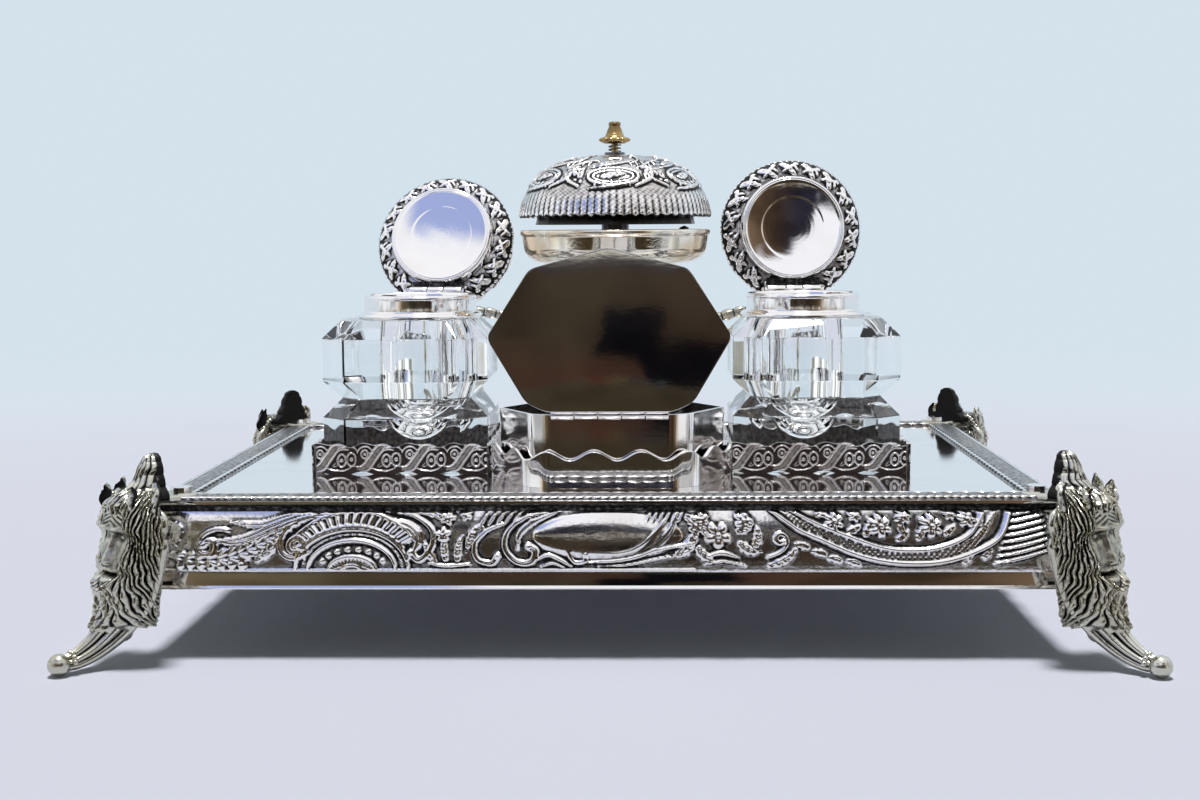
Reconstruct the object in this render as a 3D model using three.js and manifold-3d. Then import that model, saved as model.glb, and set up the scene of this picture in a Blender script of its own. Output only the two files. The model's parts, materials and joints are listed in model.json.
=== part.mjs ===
// A silver inkstand: a tray with a chased band on four lion mask feet, two square cut glass ink
// bottles with hinged domed lids, an eight-sided box with a hinged lid, a desk bell and a pen rest.
// Millimetres, +Z up. The origin lies on the table, under the middle of the tray.
// The viewer's side is -Y. Pieces that move stand where they are left open.

import * as THREE from "three";
import { mergeVertices } from "three/addons/utils/BufferGeometryUtils.js";
import Module from "manifold-3d";

const wasm = await Module();
wasm.setup();

const degree = Math.PI / 180;
const quarterTurn = Math.PI / 2;

// Fits shared by all pieces
const fitGap = 0.3;
const cutOverrun = 5;

// Tray: a raised sheet with a flat top, a hollow moulding, a band that swells outwards and down, and a plain strip
const trayWidth = 251;
const trayDepth = 177;
const trayTop = 44;
const traySheet = 1.5;
const trayEdge = 1.2;
const coveHeight = 1.6;
const coveInset = 1.5;
const bandHeight = 16.9;
const bandBulge = 1.6;
const bandRoundShare = 0.7;
const stripHeight = 4;
const stripSetback = 0.8;
const rimWire = 0.8;

// Swelling border with rope edges, soldered round the tray's top in four lengths that stop at the feet
const ropeWidth = 9;
const ropeHeight = 1.4;
const ropeCrownShare = 1.33;
const ropeInset = 0.5;
const ropeCornerGap = 15;

// Feet: lion masks on scrolled legs, one at each corner, facing outwards along the diagonal
const toeReach = 28.7;
const toeRadius = 3.4;
const toePad = 0.5;
const legRadius = 2.6;
const maskReach = 10;
const maskHeight = 33;
const maskRadius = 9.5;
const maneRadius = 13.5;
const crestHeight = 13.5;
const tabLength = 15;
const tabWidth = 10;
const tabThick = 1.6;
const footScrewRadius = 1.5;
const footScrewHead = 2.9;
const footScrewHeadHeight = 1.5;
const footScrewSeat = 9;
const footNutRadius = 3.4;
const footNutHeight = 2.2;

// Ink bottles: square cut glass with a V groove between the plinth and the body
const bottleX = 63.5;
const glassWidth = 51.4;
const glassChamfer = 8;
const glassPlinthHeight = 22.3;
const glassBodyHeight = 24.3;
const glassBevel = 5.6;
const glassBaseBevel = 1;
const neckRadius = 15;
const neckHeight = 5.6;
const neckShift = 2.8;
const wellRadius = 12;
const wellFloor = 8;

// Pierced galleries that hold the bottles
const galleryWall = 1.2;
const galleryHeight = 10.2;
const galleryWave = 1.1;
const galleryWaves = 4;
const galleryFit = 0.6;
const piercingRadius = 2.5;
const piercingHeight = 5;
const piercingsPerSide = 4;

// Bottle collars and their domed lids
const collarRadius = 17.8;
const collarFlangeRadius = 19.5;
const collarFlangeHeight = 1.6;
const collarHeight = 7.3;
const collarTopWall = 2;
const lidHingeOut = 2.8;
const lidSeat = 0.4;
const dishRadius = 17.2;
const dishRim = 1.5;
const dishRimShare = 0.29;
const dishSheet = 0.9;
const dishDepth = 7.5;
const dishRecessRadius = 10.2;
const dishRecess = 1.3;
const lidDomeRadius = 23;
const lidDomeHeight = 14;
const lidDomeSheet = 1;
const lidLip = 1.4;
const barrelRadius = 1.6;
const barrelLength = 17.5;
const barrelBore = 0.9;
const pinRadius = 0.6;
const pinHead = 1.2;
const pinHeadThick = 0.6;
const leafThick = 1.2;
const rightLidOpen = 97;
const leftLidOpen = 112;
const leftCollarTurn = -6.5;
const rightCollarTurn = 2.5;

// Box: eight sides, wider than deep, with a nearly flat lid hinged on its near edge
const boxX = 0.8;
const boxHeight = 21;
const boxWall = 1.2;
const boxFloor = 1.4;
const boxHingeSide = 36.6;
const boxShoulderX = 24;
const boxShoulderDepth = 2.7;
const boxTipX = 35;
const boxTipDepth = 21.5;
const boxFarX = 22.5;
const boxFarDepth = 41;
const boxDepth = 47;
const boxTipRound = 2.5;
const boxLidOverhang = 0.7;
const boxLidEdge = 1;
const boxLidDome = 0.8;
const boxLidSheet = 1;
const boxBarrelRadius = 1.3;
const boxBarrelBore = 0.75;
const boxPinRadius = 0.45;
const boxBarrelLength = 34;
const boxBarrelKnuckles = 5;
const boxLidOpen = 92;

// Plain wavy gallery round the box
const boxGalleryWall = 0.9;
const boxGalleryFit = 1.2;
const boxGalleryHeight = 9.4;
const boxGalleryWave = 1.3;
const boxGalleryWaveLength = 13;

// Bell: a cup on a turned pillar, with a gong, a chased cover and a push knob
const bellX = 1.2;
const bellCupBottom = 63;
const bellCupHeight = 11;
const bellCupRadius = 31;
const bellCupSheet = 1.2;
const bellCupFoot = 22;
const pillarBaseRadius = 13;
const pillarBaseHeight = 3;
const pillarNeckRadius = 3.6;
const pillarKnopRadius = 7;
const pillarTopRadius = 9;
const pillarStudRadius = 2.4;
const pillarNutRadius = 5.2;
const pillarNutHeight = 3;
const postStudRadius = 2.2;
const postStudDrop = 8;
const postFlangeRadius = 8;
const postFlangeHeight = 1.6;
const postRadius = 4.4;
const postNeckRadius = 3;
const postTipRadius = 2.1;
const postBore = 1.35;
const gongRadius = 26;
const gongSheet = 1.4;
const gongBottom = 75.6;
const gongHeight = 13.4;
const domeRadius = 31;
const domeSheet = 1;
const domeBottom = 77.8;
const domeHeight = 20.2;
const domeScallops = 16;
const domeScallop = 0.9;
const domeNutRadius = 3.3;
const domeNutHeight = 0.8;
const knobBottom = 101.6;
const knobTop = 108.7;
const knobFlangeRadius = 4.8;
const knobRadius = 3.2;
const knobTipRadius = 1.7;
const plungerRadius = 1.05;
const knobTravel = 1.2;
const hammerPivotReach = 7.2;
const hammerPivotHeight = 5.2;
const hammerReach = 22.5;
const hammerRise = 3.6;
const hammerHeadRadius = 2.1;
const hammerArmWidth = 2;
const hammerArmThick = 1.4;
const hammerPinRadius = 0.7;
const hammerEarThick = 1.2;
const springRadius = 1.9;
const springWire = 0.22;
const springTurns = 2;
const springStepsPerTurn = 8;
const springSides = 5;

// Pen rest behind the bottles: two posts and a scrolled rail
const penPostX = 49;
const penPostRadius = 2;
const penPostBase = 6;
const penPostBaseHeight = 2;
const penRailHeight = 45.6;
const penRailRadius = 2;
const penRailDip = 5;
const penRailOverhang = 7;
const penStudRadius = 1.4;
const penNutRadius = 3;
const penNutHeight = 2;
const nutStudShow = 1;

// From the box's hinge side back to the middle of the bottles, the bell and the pen rest. The whole
// row stands inside the border, with this share of the spare depth before it.
const boxToBottles = 53.5;
const boxToBell = 70;
const boxToPenRest = 112;
const frontRoomShare = 0.325;
const fieldHalfY = trayDepth / 2 - ropeInset - ropeWidth;
const spareDepth = 2 * fieldHalfY - boxToPenRest - penPostBase;
const boxFront = -fieldHalfY + spareDepth * frontRoomShare;
const bottleY = boxFront + boxToBottles;
const bellY = boxFront + boxToBell;
const penRestY = boxFront + boxToPenRest;

// Finishes
const silver = new THREE.MeshStandardMaterial({ color: 0xdcdcd8, roughness: 0.12, metalness: 1 });
const chasedSilver = new THREE.MeshStandardMaterial({ color: 0xb9b8b2, roughness: 0.3, metalness: 1 });
const castSilver = new THREE.MeshStandardMaterial({ color: 0xa9a8a2, roughness: 0.33, metalness: 1 });
const cutGlass = new THREE.MeshStandardMaterial({
  color: 0xe9f1f4,
  roughness: 0.03,
  metalness: 0,
  transparent: true,
  opacity: 0.45,
});
const brass = new THREE.MeshStandardMaterial({ color: 0xb8995a, roughness: 0.28, metalness: 1 });
const steel = new THREE.MeshStandardMaterial({ color: 0x6f6f70, roughness: 0.4, metalness: 1 });
const bellMetal = new THREE.MeshStandardMaterial({ color: 0x9c9a92, roughness: 0.3, metalness: 1 });

// Numbers of steps, not lengths
const roundSteps = 20;
const bellSteps = 28;
const smallRoundSteps = 12;
const pinSteps = 8;
const bandSteps = 8;
const fullShoulder = 0.78;

// Solid helpers

// Signed volume of an indexed triangle mesh, positive when its faces point out.
function signedVolume(positions, indices) {
  let sum = 0;
  const a = new THREE.Vector3();
  const b = new THREE.Vector3();
  const c = new THREE.Vector3();
  for (let i = 0; i < indices.length; i += 3) {
    a.fromArray(positions, indices[i] * 3);
    b.fromArray(positions, indices[i + 1] * 3);
    c.fromArray(positions, indices[i + 2] * 3);
    sum += a.dot(b.cross(c));
  }
  return sum;
}

// A closed geometry as a solid, turned the right way out.
function solid(geometry) {
  const bare = geometry.clone();
  bare.deleteAttribute("normal");
  bare.deleteAttribute("uv");
  const merged = mergeVertices(bare);
  const vertProperties = new Float32Array(merged.attributes.position.array);
  const triVerts = new Uint32Array(merged.index.array);
  if (signedVolume(vertProperties, triVerts) < 0) {
    triVerts.reverse();
  }
  return new wasm.Manifold(new wasm.Mesh({ numProp: 3, vertProperties, triVerts }));
}

// A solid back as a geometry with plain normals.
function geometryOf(body) {
  const mesh = body.getMesh();
  const geometry = new THREE.BufferGeometry();
  geometry.setAttribute("position", new THREE.BufferAttribute(mesh.vertProperties, 3));
  geometry.setIndex(new THREE.BufferAttribute(mesh.triVerts, 1));
  geometry.computeVertexNormals();
  return geometry;
}

function joined(...bodies) {
  return bodies.reduce((whole, body) => whole.add(body));
}

function block(width, depth, height, x = 0, y = 0, bottom = 0) {
  const geometry = new THREE.BoxGeometry(width, depth, height);
  geometry.translate(x, y, bottom + height / 2);
  return solid(geometry);
}

// An ellipsoid with its half sizes along x, y and z.
function ball(halfX, halfY, halfZ, x, y, z, across = 7, down = 4) {
  const geometry = new THREE.SphereGeometry(1, across, down);
  geometry.rotateX(quarterTurn);
  geometry.scale(halfX, halfY, halfZ);
  geometry.translate(x, y, z);
  return solid(geometry);
}

// A profile of [radius, height] points, closed on itself or on the axis, turned about Z.
function turned(profile, steps = roundSteps) {
  const points = profile.map(([radius, height]) => new THREE.Vector2(radius, height));
  const geometry = new THREE.LatheGeometry(points, steps);
  geometry.rotateX(quarterTurn);
  return solid(geometry);
}

function cylinder(radius, bottom, top, steps = smallRoundSteps, x = 0, y = 0) {
  const geometry = new THREE.CylinderGeometry(radius, radius, top - bottom, steps);
  geometry.rotateX(quarterTurn);
  geometry.translate(x, y, (bottom + top) / 2);
  return solid(geometry);
}

// A round bar along X.
function crossBar(radius, from, to, y, z, steps = pinSteps) {
  const geometry = new THREE.CylinderGeometry(radius, radius, to - from, steps);
  geometry.rotateZ(quarterTurn);
  geometry.translate((from + to) / 2, y, z);
  return solid(geometry);
}

// A round bar along Y, about the origin.
function depthBar(radius, length, steps = pinSteps) {
  return solid(new THREE.CylinderGeometry(radius, radius, length, steps));
}

// A round bar along a path.
function swept(path, radius, sides, steps) {
  const section = new THREE.Shape();
  section.absarc(0, 0, radius, 0, Math.PI * 2);
  const outline = new THREE.Shape(section.getPoints(sides / 2).slice(0, -1));
  return solid(new THREE.ExtrudeGeometry(outline, { steps, extrudePath: path, curveSegments: 1 }));
}

// Rings of points joined one to the next, with fanned ends, or closed from the last to the first.
function lofted(rings, closed = false) {
  const count = rings[0].length;
  const positions = [];
  const indices = [];
  rings.forEach((ring) => ring.forEach((point) => positions.push(point.x, point.y, point.z)));
  for (let r = 0; r < rings.length - (closed ? 0 : 1); r += 1) {
    const above = (r + 1) % rings.length;
    for (let i = 0; i < count; i += 1) {
      const next = (i + 1) % count;
      const low = [r * count + i, r * count + next];
      const high = [above * count + i, above * count + next];
      indices.push(low[0], low[1], high[1], low[0], high[1], high[0]);
    }
  }
  (closed ? [] : [0, rings.length - 1]).forEach((r) => {
    const middle = new THREE.Vector3();
    rings[r].forEach((point) => middle.add(point));
    middle.divideScalar(count);
    const hub = positions.length / 3;
    positions.push(middle.x, middle.y, middle.z);
    for (let i = 0; i < count; i += 1) {
      const a = r * count + i;
      const b = r * count + ((i + 1) % count);
      if (r === 0) {
        indices.push(hub, b, a);
      } else {
        indices.push(hub, a, b);
      }
    }
  });
  const geometry = new THREE.BufferGeometry();
  geometry.setAttribute("position", new THREE.Float32BufferAttribute(positions, 3));
  geometry.setIndex(indices);
  return solid(geometry);
}

// A closed outline moved in by a distance, each corner along its own mitre.
function inset(outline, distance) {
  const count = outline.length;
  return outline.map((point, i) => {
    const before = outline[(i + count - 1) % count];
    const after = outline[(i + 1) % count];
    const first = point.clone().sub(before).normalize();
    const second = after.clone().sub(point).normalize();
    const mitre = new THREE.Vector2(-first.y - second.y, first.x + second.x);
    const reach = (2 * distance) / mitre.lengthSq();
    return point.clone().addScaledVector(mitre, reach);
  });
}

function ringAt(outline, z) {
  return outline.map((point) => new THREE.Vector3(point.x, point.y, z));
}

// Scene helpers

const inkstand = new THREE.Group();

function group(parent, x, y, z) {
  const holder = new THREE.Group();
  holder.position.set(x, y, z);
  parent.add(holder);
  return holder;
}

function addPiece(parent, name, body, material) {
  const mesh = new THREE.Mesh(geometryOf(body), material);
  mesh.name = name;
  parent.add(mesh);
  return mesh;
}

// The tray

const trayHalfX = trayWidth / 2;
const trayHalfY = trayDepth / 2;
const trayBottom = trayTop - trayEdge - coveHeight - bandHeight - stripHeight - rimWire;
const bandTop = trayTop - trayEdge - coveHeight;
const bandBottom = bandTop - bandHeight;

// The wall's outside as [offset from the top's edge, height] points, from the top down.
function trayWallProfile() {
  const profile = [[0, trayTop], [0, trayTop - trayEdge]];
  for (let i = 0; i <= bandSteps; i += 1) {
    const share = i / bandSteps;
    const swell = Math.sin((Math.PI / 2) * share) ** bandRoundShare;
    profile.push([-coveInset + (coveInset + bandBulge) * swell, bandTop - bandHeight * share]);
  }
  const strip = bandBulge - stripSetback;
  profile.push([strip, bandBottom]);
  profile.push([strip, trayBottom + rimWire]);
  profile.push([strip + rimWire, trayBottom + rimWire]);
  profile.push([strip + rimWire, trayBottom]);
  return profile;
}

function trayRing(offset, z) {
  const x = trayHalfX + offset;
  const y = trayHalfY + offset;
  return [
    new THREE.Vector3(-x, -y, z),
    new THREE.Vector3(x, -y, z),
    new THREE.Vector3(x, y, z),
    new THREE.Vector3(-x, y, z),
  ];
}

// The four corners as [place, x side, y side].
const corners = [
  ["front_left", -1, -1],
  ["front_right", 1, -1],
  ["rear_right", 1, 1],
  ["rear_left", -1, 1],
];

function cornerTurn(sideX, sideY) {
  return Math.atan2(sideY, sideX);
}

const footScrewOffset = footScrewSeat * Math.SQRT1_2;

function buildTray() {
  const outer = trayWallProfile();
  const ceiling = trayTop - traySheet;
  const inner = outer.map(([offset, z]) => [offset - traySheet, Math.min(z, ceiling)]).reverse();
  inner.pop();
  const rings = [...outer, ...inner].map(([offset, z]) => trayRing(offset, z));
  let shell = lofted(rings);
  const drillTop = trayTop + cutOverrun;
  const drillBottom = ceiling - cutOverrun;
  const footHole = footScrewRadius + fitGap;
  corners.forEach(([, sideX, sideY]) => {
    const x = sideX * (trayHalfX - footScrewOffset);
    const y = sideY * (trayHalfY - footScrewOffset);
    shell = shell.subtract(cylinder(footHole, drillBottom, drillTop, pinSteps, x, y));
  });
  const pillarHole = pillarStudRadius + fitGap;
  shell = shell.subtract(cylinder(pillarHole, drillBottom, drillTop, smallRoundSteps, bellX, bellY));
  [-penPostX, penPostX].forEach((x) => {
    const hole = penStudRadius + fitGap;
    shell = shell.subtract(cylinder(hole, drillBottom, drillTop, pinSteps, x, penRestY));
  });
  addPiece(inkstand, "tray_shell", shell, silver);
}

// One straight length of rope border with a half round section, along X from -length/2.
function ropeLength(length) {
  const section = new THREE.Shape();
  const half = ropeWidth / 2;
  const crown = ropeHeight * ropeCrownShare;
  section.moveTo(-half, 0);
  section.bezierCurveTo(-half, crown, half, crown, half, 0);
  section.closePath();
  const settings = { depth: length, bevelEnabled: false, curveSegments: 6 };
  const geometry = new THREE.ExtrudeGeometry(section, settings);
  geometry.rotateX(quarterTurn);
  geometry.rotateZ(quarterTurn);
  geometry.translate(-length / 2, 0, 0);
  return geometry;
}

function buildRopeBorder() {
  const inward = ropeInset + ropeWidth / 2;
  const sides = [
    ["front", trayWidth - 2 * ropeCornerGap, 0, -trayHalfY + inward, 0],
    ["rear", trayWidth - 2 * ropeCornerGap, 0, trayHalfY - inward, 0],
    ["left", trayDepth - 2 * ropeCornerGap, -trayHalfX + inward, 0, quarterTurn],
    ["right", trayDepth - 2 * ropeCornerGap, trayHalfX - inward, 0, quarterTurn],
  ];
  sides.forEach(([label, length, x, y, turn]) => {
    const geometry = ropeLength(length);
    geometry.rotateZ(turn);
    geometry.translate(x, y, trayTop);
    addPiece(inkstand, `rope_border_${label}`, solid(geometry), chasedSilver);
  });
}

// Feet, built with x along the outward diagonal from the tray's corner and z from the table

// Points of the leg's middle line, as [share of the toe's reach, share of the hip's height].
const legShares = [[0.17, 1], [0.33, 0.66], [0.55, 0.38], [0.8, 0.21], [1, 0.19]];
const hipShare = 1.6;

function footLeg() {
  const hip = maskHeight - maskRadius * hipShare;
  const points = legShares.map(([out, up]) => new THREE.Vector3(toeReach * out, 0, hip * up));
  return swept(new THREE.CatmullRomCurve3(points), legRadius, 6, 6);
}

// Lumps of the mask as shares of the mask's radius: [x, y, z, half x, half y, half z], from its middle.
const maskShares = [
  [0, 0, 0, 1, 1, 1.25],
  [0.42, 0, 0.6, 0.5, 0.86, 0.42],
  [0.66, 0, -0.5, 0.56, 0.6, 0.5],
  [0.45, 0, -1.15, 0.46, 0.46, 0.42],
  [0.1, 0, -1.75, 0.5, 0.72, 0.85],
];

// Locks of the mane, as shares of the mane's radius, mirrored left and right.
const maneShares = [
  [-0.1, 0.58, 0.5, 0.5, 0.42, 0.7],
  [-0.35, 0.8, -0.05, 0.42, 0.36, 0.8],
  [-0.05, 0.52, -0.9, 0.4, 0.36, 0.6],
];

// The crest's half sizes as shares of its half height, and the back's as shares of the reach,
// the mane and the mask.
const crestShares = [0.34, 0.62, 1];
const crestOutShare = 0.2;
const backShares = [0.9, 0.8, 1.5];
const backOutShare = 0.3;

function buildFoot(name, sideX, sideY) {
  const holder = group(inkstand, sideX * trayHalfX, sideY * trayHalfY, 0);
  holder.rotation.z = cornerTurn(sideX, sideY);
  const lumps = maskShares.map(([x, y, z, halfX, halfY, halfZ]) => ball(
    halfX * maskRadius,
    halfY * maskRadius,
    halfZ * maskRadius,
    maskReach + x * maskRadius,
    y * maskRadius,
    maskHeight + z * maskRadius,
  ));
  maneShares.forEach(([x, y, z, halfX, halfY, halfZ]) => {
    [-1, 1].forEach((side) => lumps.push(ball(
      halfX * maneRadius,
      halfY * maneRadius,
      halfZ * maneRadius,
      maskReach / 2 + x * maneRadius,
      side * y * maneRadius,
      maskHeight + z * maneRadius,
      6,
      4,
    )));
  });
  const crestHalf = (trayTop + crestHeight - maskHeight) / 2;
  const crest = ball(
    ...crestShares.map((share) => share * crestHalf),
    maskReach * crestOutShare,
    0,
    trayTop + crestHeight - crestHalf,
  );
  const back = ball(
    maskReach * backShares[0],
    maneRadius * backShares[1],
    maskRadius * backShares[2],
    maskReach * backOutShare,
    0,
    maskHeight,
  );
  const toe = ball(toeRadius, toeRadius, toeRadius, toeReach, 0, toeRadius - toePad);
  let foot = joined(...lumps, crest, back, footLeg(), toe);
  const clear = (bandBulge + fitGap) * Math.SQRT2;
  const cutter = block(trayWidth, trayWidth, trayTop + cutOverrun, 0, 0, -cutOverrun)
    .rotate([0, 0, 45])
    .translate([clear - trayWidth * Math.SQRT1_2, 0, 0]);
  foot = foot.subtract(cutter);
  const tabOut = maskReach * backOutShare - tabLength / 2;
  foot = foot.add(block(tabLength, tabWidth, tabThick, tabOut, 0, trayTop));
  const hole = cylinder(
    footScrewRadius + fitGap,
    trayTop - cutOverrun,
    trayTop + tabThick + crestHeight,
    pinSteps,
    -footScrewSeat,
  );
  const headRoom = cylinder(
    footScrewHead + fitGap,
    trayTop + tabThick,
    trayTop + crestHeight + cutOverrun,
    smallRoundSteps,
    -footScrewSeat,
  );
  foot = foot.subtract(hole).subtract(headRoom);
  foot = foot.subtract(block(trayWidth, trayWidth, cutOverrun, 0, 0, -cutOverrun));
  addPiece(holder, name, foot, castSilver);
}

function buildFootScrews() {
  const head = trayTop + tabThick;
  const shankBottom = trayTop - traySheet - footNutHeight - nutStudShow;
  corners.forEach(([place, sideX, sideY]) => {
    const x = sideX * (trayHalfX - footScrewOffset);
    const y = sideY * (trayHalfY - footScrewOffset);
    const screw = joined(
      cylinder(footScrewHead, head, head + footScrewHeadHeight, smallRoundSteps, x, y),
      cylinder(footScrewRadius, shankBottom, head + footScrewHeadHeight / 2, pinSteps, x, y),
    );
    addPiece(inkstand, `foot_screw_${place}`, screw, silver);
    const under = nut(footNutRadius, footScrewRadius, trayTop - traySheet, footNutHeight, x, y);
    addPiece(inkstand, `foot_nut_${place}`, under, steel);
  });
}

// A six-sided nut hanging down from a seat, bored clear of its stud.
function nut(radius, studRadius, seat, height, x, y) {
  const outside = cylinder(radius, seat - height, seat, 6, x, y);
  const bore = cylinder(studRadius + fitGap, seat - height - cutOverrun, seat + cutOverrun, pinSteps, x, y);
  return outside.subtract(bore);
}

// Bottle galleries

const galleryInner = glassWidth + 2 * galleryFit;
const galleryOuter = galleryInner + 2 * galleryWall;

function galleryPanel() {
  const outline = new THREE.Shape();
  const half = galleryOuter / 2;
  const steps = galleryWaves * 3;
  outline.moveTo(-half, 0);
  outline.lineTo(half, 0);
  for (let i = steps; i >= 0; i -= 1) {
    const share = i / steps;
    const wave = galleryWave * (Math.cos(2 * Math.PI * galleryWaves * share) - 1) / 2;
    outline.lineTo(-half + galleryOuter * share, galleryHeight + wave);
  }
  outline.closePath();
  const pitch = galleryInner / piercingsPerSide;
  for (let i = 0; i < piercingsPerSide; i += 1) {
    const hole = new THREE.Path();
    const x = -galleryInner / 2 + pitch * (i + 0.5);
    hole.absellipse(x, piercingHeight, piercingRadius * 1.5, piercingRadius, 0, Math.PI * 2, true, 0);
    outline.holes.push(new THREE.Path(hole.getPoints(3).slice(0, -1)));
  }
  const geometry = new THREE.ExtrudeGeometry(outline, { depth: galleryWall, bevelEnabled: false });
  geometry.rotateX(quarterTurn);
  geometry.translate(0, -galleryInner / 2, 0);
  return solid(geometry);
}

function buildGallery(name, side) {
  const holder = group(inkstand, side * bottleX, bottleY, trayTop);
  const panel = galleryPanel();
  const sides = [0, 90, 180, 270].map((turn) => panel.rotate([0, 0, turn]));
  addPiece(holder, name, joined(...sides), castSilver);
}

// Ink bottles

function squareRing(half, chamfer, z) {
  const near = half - chamfer;
  return [
    [near, -half], [half, -near], [half, near], [near, half],
    [-near, half], [-half, near], [-half, -near], [-near, -half],
  ].map(([x, y]) => new THREE.Vector3(x, y, z));
}

function glassBody() {
  const half = glassWidth / 2;
  const waist = half - glassBevel;
  const top = glassPlinthHeight + glassBodyHeight;
  const levels = [
    [half - glassBaseBevel, 0],
    [half, glassBaseBevel],
    [half, glassPlinthHeight - glassBevel],
    [waist, glassPlinthHeight],
    [half, glassPlinthHeight + glassBevel],
    [half, top - glassBevel],
    [waist, top],
  ];
  return lofted(levels.map(([halfWidth, z]) => squareRing(halfWidth, glassChamfer, z)));
}

function glassNeck() {
  const top = glassPlinthHeight + glassBodyHeight + neckHeight;
  return cylinder(neckRadius, glassPlinthHeight, top, roundSteps);
}

function inkWell() {
  const top = glassPlinthHeight + glassBodyHeight + neckHeight + cutOverrun;
  const profile = [[0, top], [wellRadius, top]];
  const steps = 5;
  for (let i = 0; i <= steps; i += 1) {
    const angle = quarterTurn * (i / steps);
    profile.push([wellRadius * Math.cos(angle), wellFloor + wellRadius * (1 - Math.sin(angle))]);
  }
  profile[profile.length - 1][0] = 0;
  return turned(profile, 20);
}

const bottleTop = glassPlinthHeight + glassBodyHeight;
const collarTop = bottleTop + collarHeight;
const hingeReach = collarRadius + lidHingeOut;

function collarBody() {
  const bore = neckRadius + fitGap;
  const mouth = collarRadius - collarTopWall;
  return turned([
    [bore, 0],
    [collarFlangeRadius, 0],
    [collarFlangeRadius, collarFlangeHeight],
    [collarRadius, collarFlangeHeight + fitGap],
    [collarRadius, collarHeight - fitGap],
    [collarRadius - fitGap, collarHeight],
    [mouth, collarHeight],
    [mouth, collarHeight - fitGap],
    [bore, collarHeight - collarTopWall],
    [bore, 0],
  ]);
}

// One knuckle of a barrel hinge along X, bored for its pin, with a web to what carries it.
function knuckle(radius, bore, from, to, web) {
  return joined(crossBar(radius, from, to, 0, 0, smallRoundSteps), web)
    .subtract(crossBar(bore, from - cutOverrun, to + cutOverrun, 0, 0));
}

// The lid's pieces are built closed, with the hinge axis as their origin and the lid towards -Y.

function dishBody() {
  const wall = dishRadius - dishSheet;
  const top = lidSeat + dishDepth;
  const profile = [
    [0, lidSeat + dishRecess],
    [dishRecessRadius, lidSeat + dishRecess],
    [dishRecessRadius + dishRecess, lidSeat],
    [dishRadius - dishRim, lidSeat],
    [dishRadius - dishRim * dishRimShare, lidSeat + dishRim * dishRimShare],
    [dishRadius, lidSeat + dishRim],
    [dishRadius, top - dishSheet],
    [lidDomeRadius - lidLip - fitGap, top - dishSheet],
    [lidDomeRadius - lidLip - fitGap, top],
    [wall, top],
    [wall, lidSeat + dishRim + dishSheet],
    [wall - dishSheet, lidSeat + dishRim],
    [dishRecessRadius + dishRecess, lidSeat + dishSheet + dishRecess],
    [0, lidSeat + dishSheet + dishRecess],
  ];
  const dish = turned(profile).translate([0, -hingeReach, 0]);
  const webTop = lidSeat + dishRim + leafThick;
  const webDepth = hingeReach - dishRadius + dishSheet;
  const half = barrelLength / 6 - fitGap;
  const plateY = -(webDepth + barrelRadius) / 2;
  const plate = block(barrelLength, webDepth - barrelRadius, leafThick, 0, plateY, webTop);
  const web = block(2 * half, webDepth, leafThick, 0, -webDepth / 2, barrelRadius - leafThick);
  const riserY = -barrelRadius - leafThick / 2;
  const riser = block(2 * half, leafThick, webTop, 0, riserY, leafThick / 2);
  const middle = knuckle(barrelRadius, barrelBore, -half, half, joined(web, riser));
  const hollow = turned([
    [0, lidSeat + dishSheet + dishRecess],
    [wall - dishSheet, lidSeat + dishRim],
    [wall, lidSeat + dishRim + dishSheet],
    [wall, top + cutOverrun],
    [0, top + cutOverrun],
  ]).translate([0, -hingeReach, 0]);
  return joined(dish, plate.subtract(hollow), middle.subtract(hollow));
}

function lidDomeBody() {
  const bottom = lidSeat + dishDepth - dishSheet;
  const steps = 5;
  const outer = [[lidDomeRadius - lidLip / 2, bottom - lidLip / 2], [lidDomeRadius, bottom]];
  const inner = [[lidDomeRadius - lidLip, bottom - lidLip / 2]];
  for (let i = 0; i <= steps; i += 1) {
    const angle = quarterTurn * (i / steps);
    const across = Math.cos(angle) ** fullShoulder;
    const height = bottom + lidLip / 2 + (lidDomeHeight - lidLip / 2) * Math.sin(angle);
    outer.push([lidDomeRadius * across, height]);
    inner.push([(lidDomeRadius - lidLip) * across, height - (i ? lidDomeSheet : 0)]);
  }
  outer[outer.length - 1][0] = 0;
  inner[inner.length - 1][0] = 0;
  const profile = [...outer, ...inner.reverse()];
  profile.push([...outer[0]]);
  return turned(profile).translate([0, -hingeReach, 0]);
}

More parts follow.
